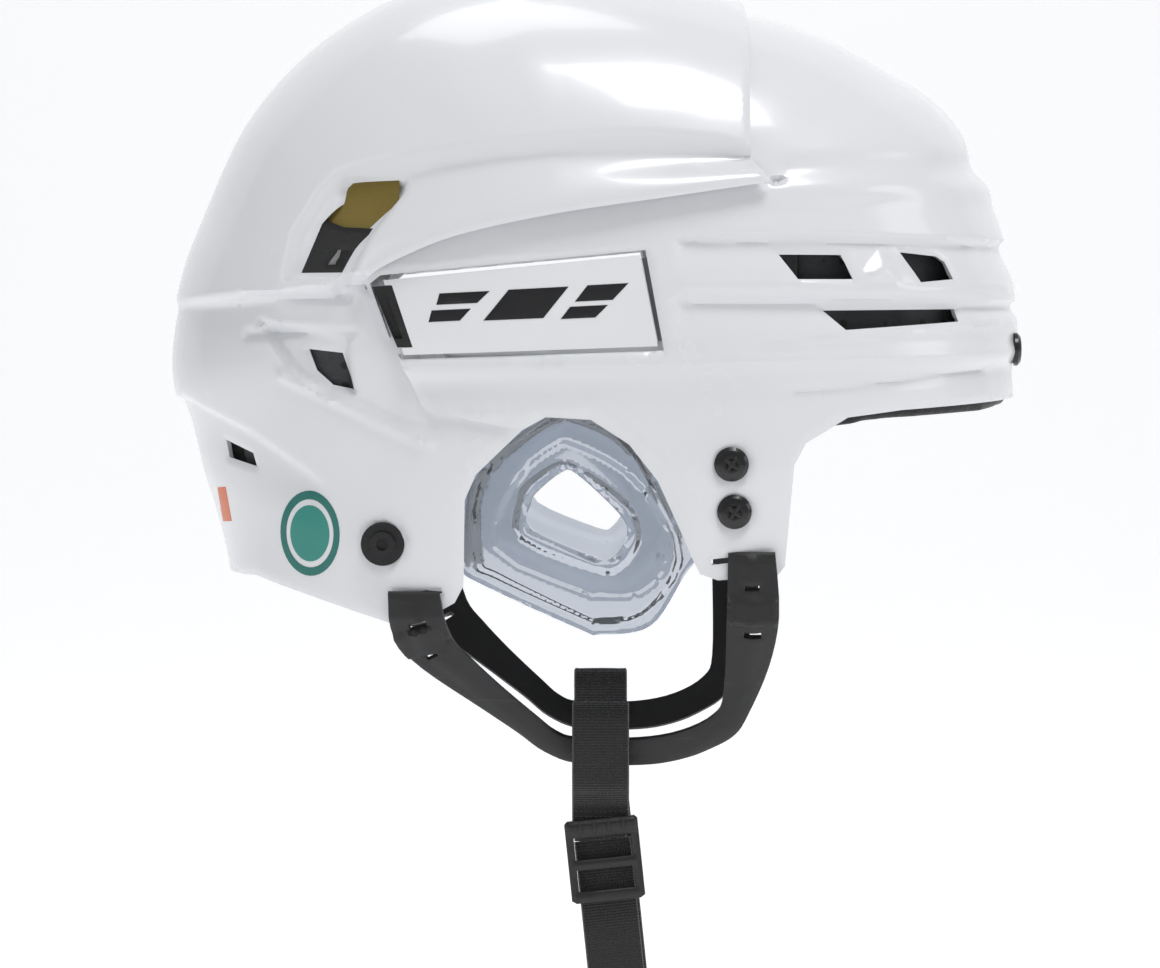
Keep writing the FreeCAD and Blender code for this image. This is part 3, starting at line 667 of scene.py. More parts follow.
@dataclass(frozen=True)
class Groove:
    """A line pressed in, or raised where the depth is negative."""

    path: Path
    width: float
    depth: float

    def height(self, p: np.ndarray) -> np.ndarray:
        """Return the height change at side points."""
        return -self.depth * ease(1 - distance(p, self.path) / self.width)


@dataclass(frozen=True)
class Recess:
    """An area pressed in, with a sloping wall inside its outline."""

    outline: Path
    depth: float
    wall: float

    def height(self, p: np.ndarray) -> np.ndarray:
        """Return the height change at side points."""
        reach = ease(distance(p, self.outline, True) / self.wall)
        return np.where(inside(p, self.outline), -self.depth * reach, 0.0)


@dataclass(frozen=True)
class Ledge:
    """A wall between two lines that drops, then a slow return to a third line."""

    top: Path
    bottom: Path
    back: Path
    depth: float
    reach: tuple[float, float]
    fade: float = 8.0

    def height(self, p: np.ndarray) -> np.ndarray:
        """Return the height change at side points."""
        z = p[:, 1]
        top, bottom, back = (line_height(p, line) for line in (self.top, self.bottom, self.back))
        down = ease((top - z) / np.maximum(top - bottom, 0.5))
        up = ease((z - back) / np.maximum(bottom - back, 1.0))
        ends = ease((p[:, 0] - self.reach[0]) / self.fade) * ease((self.reach[1] - p[:, 0]) / self.fade)
        lower = np.where(z > bottom, -down, np.where(z > back, -up, 0.0))
        return np.where(z > top, 0.0, lower) * self.depth * ends


def mesh_object(name: str, verts: np.ndarray, faces: Sequence[Sequence[int]]) -> bpy.types.Object:
    """Make an object from points in millimetres.

    Args:
        name: Name of the piece.
        verts: Points in millimetres.
        faces: Corner numbers of each face.

    Returns:
        The linked object.
    """
    mesh = bpy.data.meshes.new(name)
    mesh.from_pydata((np.asarray(verts) * MM).tolist(), [], [list(map(int, f)) for f in faces])
    mesh.validate()
    mesh.polygons.foreach_set("use_smooth", [True] * len(mesh.polygons))
    piece = bpy.data.objects.new(name, mesh)
    bpy.context.scene.collection.objects.link(piece)
    return piece


def baked(piece: bpy.types.Object) -> bpy.types.Object:
    """Apply every modifier of a piece and return it with a plain mesh.

    Args:
        piece: Piece with modifiers.

    Returns:
        The same piece.
    """
    graph = bpy.context.evaluated_depsgraph_get()
    mesh = bpy.data.meshes.new_from_object(piece.evaluated_get(graph))
    piece.modifiers.clear()
    piece.data = mesh
    return piece


def dress(
    piece: bpy.types.Object, material: bpy.types.Material, body: str, slot: str = "", *nodes: str,
) -> None:
    """Give a finished piece its material and its body, and hide the nodes that it stands for.

    Args:
        piece: The piece.
        material: Its only material.
        body: Body that it rides on.
        slot: Material slot, if it has one; not used.
        nodes: CAD nodes that it stands for.
    """
    piece.data.materials.clear()
    piece.data.materials.append(material)
    if nodes:
        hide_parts(*nodes)
    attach(piece, body)
    LOG.info("%s: %d faces on %s", piece.name, len(piece.data.polygons), body)


@dataclass
class Shell:
    """A moulded shell: a trimmed skin with relief, both halves in one closed mesh."""

    name: str
    skin: Skin
    outline: Path
    holes: tuple[Path, ...]
    relief: tuple[Groove | Recess | Ledge, ...]
    lower: Skin | None = None
    lower_line: Path = ()
    spacing: float = 1.55
    wall: float = 2.1
    roll: float = 1.1
    drop: float = 0.75
    step: float = 4.5
    step_end: float = 60.0

    def build(self) -> bpy.types.Object:
        """Return the shell as one closed mesh."""
        flat = Unroll(self.skin)
        uv, edges = self.border(flat)
        uv = self.fill(flat, uv)
        result = delaunay_2d_cdt([Vector(p) for p in uv], edges, [], 0, 1e-4)
        points = np.array([tuple(v) for v in result[0]])
        tris = np.array([f for f in result[2]])
        middle = flat.side(points[tris].mean(1))
        keep = inside(middle, self.outline)
        for hole in self.holes:
            keep &= ~inside(middle, hole)
        tris = tris[keep]
        verts = self.formed(flat, points)
        both = np.concatenate([verts, verts * (1, -1, 1)])
        faces = np.concatenate([tris, tris[:, ::-1] + len(verts)])
        piece = mesh_object(self.name, both, faces)
        self.close(piece)
        return piece

    def border(self, flat: Unroll) -> tuple[np.ndarray, list[tuple[int, int]]]:
        """Return points and edges along every trimmed edge, in flat coordinates.

        Args:
            flat: The skin's flat map.

        Returns:
            The points, and the edges as pairs of point numbers.
        """
        points: list[np.ndarray] = []
        edges: list[tuple[int, int]] = []
        for ring in (self.outline, *self.holes):
            run = self.sampled(ring)
            share = self.skin.share(run)
            keep = share < 0.9999
            where = flat.flat(run)
            start = len(points)
            points.extend(where)
            count = len(run)
            for i in range(count):
                j = (i + 1) % count
                if keep[i] or keep[j]:
                    edges.append((start + i, start + j))
        turns = np.linspace(-np.pi, np.pi, 520, endpoint=False)
        arc = flat.rim * np.column_stack([np.cos(turns), np.sin(turns)])
        return np.concatenate([np.array(points), arc]), edges

    def sampled(self, ring: Path) -> np.ndarray:
        """Return a ring divided into short runs, with a point where it meets the middle line.

        Args:
            ring: Side outline.

        Returns:
            The divided ring, one point in each row.
        """
        line = np.array(ring, float)
        made = []
        for a, b in zip(line, np.roll(line, -1, 0)):
            count = max(1, int(np.linalg.norm(b - a) / 1.1))
            run = a + (b - a) * np.linspace(0, 1, count, endpoint=False)[:, None]
            made.extend(run)
        run = np.array(made)
        share = self.skin.share(run)
        out = []
        for i, point in enumerate(run):
            out.append(point)
            after = run[(i + 1) % len(run)]
            s0, s1 = share[i], share[(i + 1) % len(run)]
            if (s0 - 1) * (s1 - 1) < 0:
                out.append(point + (after - point) * (1 - s0) / (s1 - s0))
        return np.array(out)

    def fill(self, flat: Unroll, border: np.ndarray) -> np.ndarray:
        """Return the border with evenly spaced points added inside it.

        Args:
            flat: The skin's flat map.
            border: Points along the trimmed edges.

        Returns:
            All the points, the border first.
        """
        h = self.spacing
        n = int(flat.rim / h) + 2
        rows = range(-n - 20, n + 20)
        grid = np.array([
            (i * h + (0.5 * h if j % 2 else 0), j * h * 0.866) for i in range(-n, n) for j in rows
        ])
        grid = grid[np.hypot(grid[:, 0], grid[:, 1]) < flat.rim - 0.5 * h]
        side = flat.side(grid)
        keep = inside(side, self.outline)
        for hole in self.holes:
            keep &= ~inside(side, hole)
        grid = grid[keep]
        tree = KDTree(len(border))
        for i, p in enumerate(border):
            tree.insert((p[0], p[1], 0), i)
        tree.balance()
        free = np.array([tree.find((p[0], p[1], 0))[2] > 0.6 * h for p in grid])
        return np.concatenate([border, grid[free]])

    def formed(self, flat: Unroll, uv: np.ndarray) -> np.ndarray:
        """Return the left half's points with the relief pressed in.

        Args:
            flat: The skin's flat map.
            uv: Flat coordinates, one row each.

        Returns:
            Points in millimetres, one row each.
        """
        phi, t = flat.polar(uv)
        t = np.where(np.hypot(uv[:, 0], uv[:, 1]) > flat.rim - 1e-3, 1.0, t)
        side = flat.side(uv)
        base = self.skin.surface(phi, t)
        if self.lower is not None:
            below = line_height(side, self.lower_line) - side[:, 1]
            low = self.lower.surface(phi, t)
            share = ease(below / self.step + 0.25) * (side[:, 0] < self.step_end)
            base = base + (low - base) * share[:, None]
        normal = self.normals(base)
        height = np.zeros(len(uv))
        for shape in self.relief:
            height += shape.height(side)
        away = np.full(len(uv), 1e9)
        for ring in (self.outline, *self.holes):
            away = np.minimum(away, distance(side, ring, True))
        height -= self.drop * (1 - np.clip(away / self.roll, 0, 1)) ** 2
        made = base + normal * height[:, None]
        made[t >= 1.0, 1] = 0.0
        return made

    def normals(self, p: np.ndarray) -> np.ndarray:
        """Return outward directions of the plain skin.

        Args:
            p: Points on the skin, one row each.

        Returns:
            One unit direction for each point.
        """
        def level(q: np.ndarray) -> np.ndarray:
            share = self.skin.share(q[:, [0, 2]])
            return share**self.skin.power + np.abs(q[:, 1] / self.skin.half_width) ** self.skin.power
        step = 0.4
        grad = np.stack([level(p + np.eye(3)[k] * step) - level(p - np.eye(3)[k] * step) for k in range(3)], 1)
        grad[p[:, 1] < 1e-6, 1] = 0.0
        return grad / np.linalg.norm(grad, axis=1)[:, None]

    def close(self, piece: bpy.types.Object) -> None:
        """Weld the two halves and give the shell its wall.

        Args:
            piece: The shell as two open halves.
        """
        edit = bmesh.new()
        edit.from_mesh(piece.data)
        loose = [v for v in edit.verts if not v.link_faces]
        bmesh.ops.delete(edit, geom=loose, context="VERTS")
        bmesh.ops.remove_doubles(edit, verts=edit.verts, dist=0.00008)
        bmesh.ops.recalc_face_normals(edit, faces=edit.faces)
        top = max(edit.verts, key=lambda v: v.co.z)
        if sum(f.normal.z for f in top.link_faces) < 0:
            bmesh.ops.reverse_faces(edit, faces=edit.faces)
        edit.to_mesh(piece.data)
        edit.free()
        solid = piece.modifiers.new("wall", "SOLIDIFY")
        solid.thickness = self.wall * MM
        solid.offset = -1
        baked(piece)
        piece.data.polygons.foreach_set("use_smooth", [True] * len(piece.data.polygons))
        piece.data.set_sharp_from_angle(angle=math.radians(50))


BAND_TOP: Path = (
    (-84.8, 75.4), (-75.4, 78.7), (-63.7, 80.6), (-48.7, 83.2), (-30.5, 85.8), (-13.6, 87.5), (4.6, 88.8),
    (21.5, 88.8), (37.1, 87.1), (53, 83.5),
)
BAND_LOW: Path = (
    (-84.8, 69.5), (-66.2, 72.2), (-48.7, 77), (-30.5, 79.7), (-13.6, 81.3), (21.5, 81.6), (53, 81.6),
)
CREST: Path = ((-74, 47), (-45, 57.1), (-13.5, 63.6), (21.3, 68.7), (42.6, 72), (56.7, 73))


def rear_shell() -> Shell:
    """Return the rear shell with its scoops, ridges and rear vents.

    Returns:
        The shell, not built yet.
    """
    outline = (
        SEAM + curved(RIDGE, False, 6) + ((-73.9, 38), (-66, 36), (-55, 14), (-46, 2.5), (-23.4, -3.5))
        + EAR_REAR + REAR_LOBE + ((-165, -57.5), (-165, 175))
    )
    relief = (
        Ledge(BAND_TOP, BAND_LOW, CREST, 4.6, (-86, 60)),
        Recess(
            ((-100.1, 40), (-97, 56), (-88, 70), (-80.1, 75.5), (-60, 74.5), (-60.5, 69), (-71, 53), (-77, 40)),
            2.6, 3.0,
        ),
        Groove(((-113, 35.5), (-79, 35.5)), 2.2, 1.5),
        Groove(((-113, 23), (-95, 24.5), (-78, 23.3)), 2.4, 1.4),
        Recess(((-112, 29), (-79, 22.5), (-76.5, 2.5), (-87, 2), (-98, 10)), 2.4, 2.6),
        Groove(((-100.7, 10), (-79.3, 0.4), (-68.1, -5.1), (-53.4, -11.5)), 3.2, -1.5),
        Ledge(((-136, 2.5), (-112, -8), (-90, -22.5), (-84, -26)),
              ((-136, -1), (-112, -12), (-90, -26), (-84, -29)),
              ((-136, -24), (-112, -34), (-84, -44)), 2.4, (-150, -84), 12.0),
        Recess(circle((-67.7, -43.9), 8.4), 0.9, 0.8),
    )
    lower = Skin(BACK + REAR_TOP + SKIRT, SKIRT_HALF, SKIRT_INSET)
    line = ((-170, 31.2), (-160, 32), (-85, 38.3), (-78.5, 42.5), (60, 43))
    return Shell(
        "rear_shell_skin", Skin(BACK + REAR_TOP + SKIRT, REAR_HALF), outline, REAR_VENTS + (REAR_SLOT,),
        relief, lower, line,
    )


def front_shell() -> Shell:
    """Return the front shell with its side arms, belts, scoops and front vents.

    Returns:
        The shell, not built yet.
    """
    tongue = ((16, 175), (16, 72), (-13, 67.6), (-46, 60.7), (-67, 52), (-76, 44))
    outline = (
        tongue + ARM_END + ((-23, -7.2), (-15.4, -3)) + EAR_FRONT[1:] + FRONT_LOBE + BROW
        + ((165, 1.2), (165, 175))
    )
    relief = (
        Ledge(((20, 55), (70, 55), (130, 54)), ((20, 53.2), (70, 53.2), (130, 52)), ((20, 39), (130, 38.5)),
              2.5, (24, 150), 6.0),
        Groove(((28.6, 38.6), (60, 39), (100, 37.6), (135, 38)), 1.8, -0.7),
        Ledge(((20, 35.5), (135, 34)), ((20, 33.7), (135, 32)), ((20, 19), (60, 21), (135, 27)), 2.3,
              (24, 150), 6.0),
        Groove(((35.6, 17.6), (81.7, 23), (131.9, 26.5)), 1.6, -0.7),
        Ledge(((-64, 14), (21, 15.5), (135, 18)), ((-64, 5.5), (21, 5), (66, 5), (135, 10)),
              ((-64, -9), (0, -24), (135, -20)), 1.9, (-70, 160), 5.0),
        Groove(((58, 68.5), (100, 70), (135, 70)), 6.5, -1.3),
        Groove(((62, 77), (100, 79), (130, 78)), 5.0, 0.7),
        Groove(((-60, 12.6), (21, 13.6), (140, 16.4)), 5.0, -1.3),
        Groove(((65.6, 4.6), (90, 7), (127.6, 11.5)), 1.8, 0.9),
        Recess(((93.8, 54.5), (82, 39.5), (101, 37.5)), -2.2, 5.0),
        Recess(((56.4, 74), (60.9, 74), (60.9, 71), (56.4, 71)), 2.0, 0.6),
        Groove(((-54.9, -2.6), (-23.4, -0.9), (2, 0.6), (10, -5.6), (22.5, -17), (32, -34)), 1.8, -0.7),
        *(Recess(circle(place, 6.6), 0.7, 0.7) for place in SIDE_SCREWS),
    )
    lever = ((-68.3, 42.2), (16.4, 50.2), (22.3, 18.3), (-61.5, 15.4))
    grip = ((-71.6, 39.6), (-68, 41), (-61, 18.2), (-63.6, 18))
    window = (grip[0], lever[0], lever[1], lever[2], lever[3], grip[3])
    return Shell(
        "front_shell_skin", Skin(BACK + FRONT_TOP + SKIRT, FRONT_HALF), outline,
        FRONT_VENTS + (FRONT_SLOT, window), relief,
    )


@dataclass
class Plate:
    """A flat moulded plate with holes and relief, laid on a plane beside the helmet."""

    name: str
    outline: Path
    holes: tuple[Path, ...]
    relief: tuple[Groove | Recess, ...]
    thick: float
    lay: Callable[[np.ndarray], np.ndarray]
    spacing: float = 1.3
    roll: float = 0.9
    drop: float = 0.5

    def build(self, side: Side) -> bpy.types.Object:
        """Return the plate for one side of the helmet.

        Args:
            side: Wearer's side.

        Returns:
            The closed piece.
        """
        border, edges = self.border()
        tree = KDTree(len(border))
        for i, p in enumerate(border):
            tree.insert((p[0], p[1], 0), i)
        tree.balance()
        low, high = border.min(0), border.max(0)
        h = self.spacing
        heights = enumerate(np.arange(low[1], high[1], h * 0.866))
        grid = np.array([
            (x + (h / 2 if j % 2 else 0), z) for j, z in heights for x in np.arange(low[0], high[0], h)
        ])
        grid = grid[self.solid(grid)]
        grid = grid[[tree.find((p[0], p[1], 0))[2] > 0.55 * h for p in grid]]
        result = delaunay_2d_cdt([Vector(p) for p in np.concatenate([border, grid])], edges, [], 0, 1e-4)
        points = np.array([tuple(v) for v in result[0]])
        tris = np.array(list(result[2]))
        tris = tris[self.solid(points[tris].mean(1))]
        away = distance(points, self.outline, True)
        for hole in self.holes:
            away = np.minimum(away, distance(points, hole, True))
        height = sum((shape.height(points) for shape in self.relief), np.zeros(len(points)))
        height -= self.drop * (1 - np.clip(away / self.roll, 0, 1)) ** 2
        front = self.lay(np.column_stack([points, height]))
        back = self.lay(np.column_stack([points, np.full(len(points), -self.thick)]))
        verts = np.concatenate([front, back])
        faces = [tuple(f) for f in tris] + [tuple(f[::-1] + len(points)) for f in tris]
        piece = mesh_object(self.name, verts * (1, -side.value, 1), faces)
        self.close(piece)
        return piece

    def solid(self, points: np.ndarray) -> np.ndarray:
        """Tell which points lie in the plate and in none of its holes.

        Args:
            points: Points to test, one row each.

        Returns:
            True for each point in the plate.
        """
        keep = inside(points, self.outline)
        for hole in self.holes:
            keep &= ~inside(points, hole)
        return keep

    def border(self) -> tuple[np.ndarray, list[tuple[int, int]]]:
        """Return points and edges along the outline and the holes.

        Returns:
            The points, and the edges as pairs of point numbers.
        """
        points: list[np.ndarray] = []
        edges: list[tuple[int, int]] = []
        for ring in (self.outline, *self.holes):
            line = np.array(ring, float)
            start = len(points)
            for a, b in zip(line, np.roll(line, -1, 0)):
                count = max(1, int(np.linalg.norm(b - a) / 0.9))
                points.extend(a + (b - a) * np.linspace(0, 1, count, endpoint=False)[:, None])
            total = len(points) - start
            edges += [(start + i, start + (i + 1) % total) for i in range(total)]
        return np.array(points), edges

    @staticmethod
    def close(piece: bpy.types.Object) -> None:
        """Join the two faces along their open edges.

        Args:
            piece: The plate as two open faces.
        """
        edit = bmesh.new()
        edit.from_mesh(piece.data)
        bmesh.ops.delete(edit, geom=[v for v in edit.verts if not v.link_faces], context="VERTS")
        rims = [e for e in edit.edges if e.is_boundary]
        half = len(edit.verts) // 2
        edit.verts.ensure_lookup_table()
        for edge in [e for e in rims if max(v.index for v in e.verts) < half]:
            a, b = edge.verts
            edit.faces.new((a, b, edit.verts[b.index + half], edit.verts[a.index + half]))
        bmesh.ops.recalc_face_normals(edit, faces=edit.faces)
        edit.to_mesh(piece.data)
        edit.free()
        piece.data.polygons.foreach_set("use_smooth", [True] * len(piece.data.polygons))
        piece.data.set_sharp_from_angle(angle=math.radians(38))


def guard_lay(p: np.ndarray) -> np.ndarray:
    """Lay an ear guard's points: side X and Z with height, to the right-hand side's space."""
    y = GUARD_FACE - (p[:, 0] - 30.0) * math.tan(math.radians(5.6)) - p[:, 2]
    return np.column_stack([p[:, 0], y, p[:, 1]])


def strap_lay(p: np.ndarray) -> np.ndarray:
    """Lay a moulded strap's points: it leans in under the lobes and yaws a little.

    Args:
        p: Side X and Z with height, one row each.

    Returns:
        Points in millimetres, one row each.
    """
    lean, yaw = math.radians(32.0), math.radians(3.4)
    z = p[:, 1] - STRAP_FOLD
    hang = np.minimum(z, 0.0)
    out = p[:, 2]
    x = p[:, 0]
    y = STRAP_FACE - hang * math.sin(lean) - out * math.cos(lean)
    proud = 2.6 * np.clip((-x - 30) / 20, 0, 1) + 2.4 * np.clip((x - 28) / 12, 0, 1)
    y -= proud * np.clip((z + 25) / 25, 0, 1)
    up = STRAP_FOLD + hang * math.cos(lean) + (z - hang) - out * math.sin(lean)
    return np.column_stack([x * math.cos(yaw) + (y - STRAP_FACE) * math.sin(yaw), y - x * math.sin(yaw), up])


GUARD: Path = (
    (-15.7, 0), (-1, -1), (14, -10), (24, -26), (30, -40), (33, -47.5), (28.9, -54), (18.2, -70.1),
    (2, -73), (-4, -71.6), (-34.7, -57.8), (-43, -52), (-43.5, -40), (-42, -23), (-38, -17),
)
GUARD_HOLE: Path = (
    (-20.2, -31), (-20.2, -39), (1, -48.2), (6.4, -47.7), (10.6, -40.7), (8, -34), (-5.6, -21.4),
    (-10.4, -21), (-18, -27.1),
)


def ear_guard(name: str) -> Plate:
    """Return a clear ear guard with its stepped rims.

    Args:
        name: Name of the piece.

    Returns:
        The plate, not built yet.
    """
    collar = ((-23.9, -30), (-23.9, -42.5), (0.4, -52.4), (8.1, -52.1), (14.5, -44.1), (13.2, -34.8),
              (8.1, -28.4), (-5.7, -18.8), (-12.7, -18.5), (-22.3, -25.5))
    step = ((-32.6, -45.7), (-3.4, -59.8), (1, -60.7), (15.1, -59.8), (24.4, -49), (22, -35), (10, -20),
            (-6.6, -11.5), (-12.1, -11.9), (-24, -22))
    rim = ((-37, -24), (-37.5, -50), (-33, -54), (-3, -68), (2, -69), (16, -66.5), (28, -49), (20, -27),
           (11, -12), (-2, -4.5), (-14.5, -4))
    relief = (
        Recess(curved(rim, steps=3), 1.1, 1.1), Recess(curved(step, steps=3), -0.9, 0.9),
        Recess(curved(collar, steps=3), 0.9, 0.9), Groove(GUARD_HOLE + GUARD_HOLE[:1], 2.4, -1.7),
    )
    return Plate(name, curved(GUARD, steps=6), (curved(GUARD_HOLE, steps=4),), relief, 1.5, guard_lay, 1.15)


def side_strap(name: str) -> Plate:
    """Return a moulded side strap with its ridge, keepers and slots.

    Args:
        name: Name of the piece.

    Returns:
        The plate, not built yet.
    """
    outer = (
        (-66, -60), (-64.5, -76), (-56, -88.5), (-37, -105), (-26, -114.5), (-18, -122), (-7, -126.8),
        (13, -127.3),
        (26, -125), (37, -120), (44.5, -114.5), (49, -106), (55.8, -87), (59.3, -67), (58, -47),
    )
    inner = (
        (43, -47), (42.6, -67), (41, -98), (37.5, -107), (27, -113.6), (13, -116.7), (-7, -116.7), (-14, -114),
        (-20, -108), (-31, -96), (-40, -85), (-46, -76), (-49.5, -60),
    )
    keeper_rear = ((-66, -75), (-50, -69), (-46, -74), (-48, -80), (-62, -85), (-66, -80))
    keeper_front = ((42.8, -60), (59.4, -60), (59.6, -70), (42.6, -70))
    slots = (
        ((-59, -72.5), (-53.5, -70.5), (-54, -68.3), (-59.5, -70.2)),
        ((-54, -84.5), (-50.5, -82), (-51.8, -80.6), (-55, -82.7)),
        ((48, -72.6), (53.5, -72.6), (53.5, -74.8), (48, -74.8)),
        ((48.4, -56.6), (53, -56.6), (53, -58.4), (48.4, -58.4)),
    )
    line = ((-57, -66), (-54, -79), (-46, -88), (-33, -101), (-21, -113), (-10, -121.4), (12, -122), (30, -119),
            (42, -110), (48, -95), (51, -75), (50.5, -50))
    relief = (
        Groove(line, 5.5, -1.1), Recess(keeper_rear, -1.2, 0.8), Recess(keeper_front, -1.2, 0.8),
    )
    shape = curved(outer, False, 4) + curved(inner, False, 4)
    return Plate(name, shape, slots, relief, 1.9, strap_lay, 1.3)


@dataclass
class Studio:
    """Floor, lights and camera, in metres and degrees."""

    lens: float = 142.0
    far: float = 1.55
    eye: float = 0.0439
    tip: float = 2.68
    gap: float = 0.004

    def build(self) -> None:
        """Set up the whole studio."""
        self.floor()
        self.lights()
        self.camera()

    def floor(self) -> None:
        """Lay the plain pale floor with a curved rise behind it."""
        low = CAD_BOX[0].z - self.gap
        rows = [(-3.0, low), (1.2, low)]
        turns = np.linspace(0.1, math.pi / 2, 14)
        rows += [(1.2 + 0.9 * math.sin(a), low + 0.9 * (1 - math.cos(a))) for a in turns]
        rows += [(2.1, low + 4.0)]
        verts = [(x, y, z) for y, z in rows for x in (-4.0, 4.0)]
        faces = [(2 * i, 2 * i + 1, 2 * i + 3, 2 * i + 2) for i in range(len(rows) - 1)]
        piece = mesh_object("studio_floor", np.array(verts) / MM, faces)
        material = bpy.data.materials.new("pale_floor")
        material.use_nodes = True
        surface = material.node_tree.nodes["Principled BSDF"]
        surface.inputs["Base Color"].default_value = (0.93, 0.93, 0.94, 1)
        surface.inputs["Emission Color"].default_value = (1, 1, 1, 1)
        surface.inputs["Emission Strength"].default_value = 0.3
        surface.inputs["Roughness"].default_value = 0.9
        piece.data.materials.append(material)

    def lights(self) -> None:
        """Hang soft lights above, in front and to the side."""
        for name, place, size, power in (
            ("key", (0.4, -0.75, 1.7), 0.7, 17.0),
            ("fill", (-1.6, -1.3, 0.5), 1.0, 3.0),
            ("top", (-0.3, 0.5, 1.8), 0.9, 7.0),
            ("front", (1.7, -0.6, 0.5), 0.7, 3.0),
        ):
            data = bpy.data.lights.new(name, "AREA")
            data.size = size
            data.energy = power
            lamp = bpy.data.objects.new(name, data)
            bpy.context.scene.collection.objects.link(lamp)
            lamp.location = place
            lamp.rotation_euler = (Vector((0, 0, 0)) - Vector(place)).to_track_quat("-Z", "Y").to_euler()
        world = bpy.data.worlds.new("soft_room")
        world.use_nodes = True
        world.node_tree.nodes["Background"].inputs["Color"].default_value = (0.95, 0.97, 1, 1)
        world.node_tree.nodes["Background"].inputs["Strength"].default_value = 0.31
        bpy.context.scene.world = world
        bpy.context.scene.view_settings.view_transform = "Standard"

    def camera(self) -> None:
        """Place the camera level with the shell, tipped down a little."""
        data = bpy.data.cameras.new("camera")
        data.lens = self.lens
        data.sensor_width = 36.0
        data.clip_start, data.clip_end = 0.05, 20.0
        camera = bpy.data.objects.new("camera", data)
        bpy.context.scene.collection.objects.link(camera)
        camera.location = (0.002, -self.far, self.eye)
        aim = Vector((-0.0048, 0.0, self.eye - self.far * math.tan(math.radians(self.tip))))
        camera.rotation_euler = (aim - camera.location).to_track_quat("-Z", "Y").to_euler()
        bpy.context.scene.camera = camera


def node_mesh(node: str) -> bpy.types.Mesh:
    """Return a merged copy of a CAD node's mesh.

    Args:
        node: Name of the CAD node.

    Returns:
        The merged mesh.
    """
    mesh = frame["nodes"][node].data.copy()
    edit = bmesh.new()
    edit.from_mesh(mesh)
    bmesh.ops.remove_doubles(edit, verts=edit.verts, dist=1e-6)
    edit.to_mesh(mesh)
    edit.free()
    return mesh


@dataclass
class FoamPads:
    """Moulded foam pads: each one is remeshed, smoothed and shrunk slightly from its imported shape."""

    voxel: float = 3.2
    shrink: float = 1.1
    fill: float = 0.7

    def build(self, node: str, body: str, slot: str, material: bpy.types.Material) -> None:
        """Make one pad in place of its node.

        Args:
            node: CAD node that the pad stands for.
            body: Body that it rides on.
            slot: Material slot.
            material: Foam material.
        """
        piece = bpy.data.objects.new(f"{node}_foam", node_mesh(node))
        bpy.context.scene.collection.objects.link(piece)
        remesh = piece.modifiers.new("even", "REMESH")
        remesh.mode = "VOXEL"
        remesh.voxel_size = self.voxel * MM
        smooth = piece.modifiers.new("soft", "SMOOTH")
        smooth.factor = 0.5
        smooth.iterations = 4
        shrink = piece.modifiers.new("shrink", "DISPLACE")
        shrink.strength = -self.shrink * MM
        shrink.mid_level = 0.0
        baked(piece)
        piece.data.polygons.foreach_set("use_smooth", [True] * len(piece.data.polygons))
        rounded = piece.modifiers.new("round", "SUBSURF")
        rounded.levels = rounded.render_levels = 1
        baked(piece)
        dress(piece, material, body, slot, node)


def conform(target: bpy.types.Object) -> Callable[[np.ndarray], np.ndarray]:
    """Return a lay function that follows a piece's outer face on the right-hand side.

    Args:
        target: Piece that the patch lies on.

    Returns:
        A function from side points with heights to points in space.
    """
    tree = BVHTree.FromPolygons(
        [v.co[:] for v in target.data.vertices], [tuple(f.vertices) for f in target.data.polygons]
    )

    def lay(p: np.ndarray) -> np.ndarray:
        """Return the points on the target's face."""
        made = []
        for x, z, height in p:
            hit, normal = tree.ray_cast(Vector((x * MM, -0.3, z * MM)), Vector((0, 1, 0)))[:2]
            if hit is None:
                made.append((x, -90.0, z))
                continue
            out = normal if normal.y < 0 else -normal
            made.append((x + out.x * height, hit.y / MM + out.y * height, z + out.z * height))
        return np.array(made)

    return lay


def skin_lay(skin: Skin, depth: float) -> Callable[[np.ndarray], np.ndarray]:
    """Return a lay function that follows a plain skin at some depth on the right-hand side.

    Args:
        skin: The skin to follow.
        depth: Depth under it.

    Returns:
        A function from side points with heights to points in space.
    """
    def lay(p: np.ndarray) -> np.ndarray:
        """Return the points under the skin."""
        t = np.clip(skin.share(p[:, :2]), 0, 1)
        y = skin.half_width * (1 - t**skin.power) ** (1 / skin.power) - depth
        return np.column_stack([p[:, 0], -y - p[:, 2], p[:, 1]])

    return lay


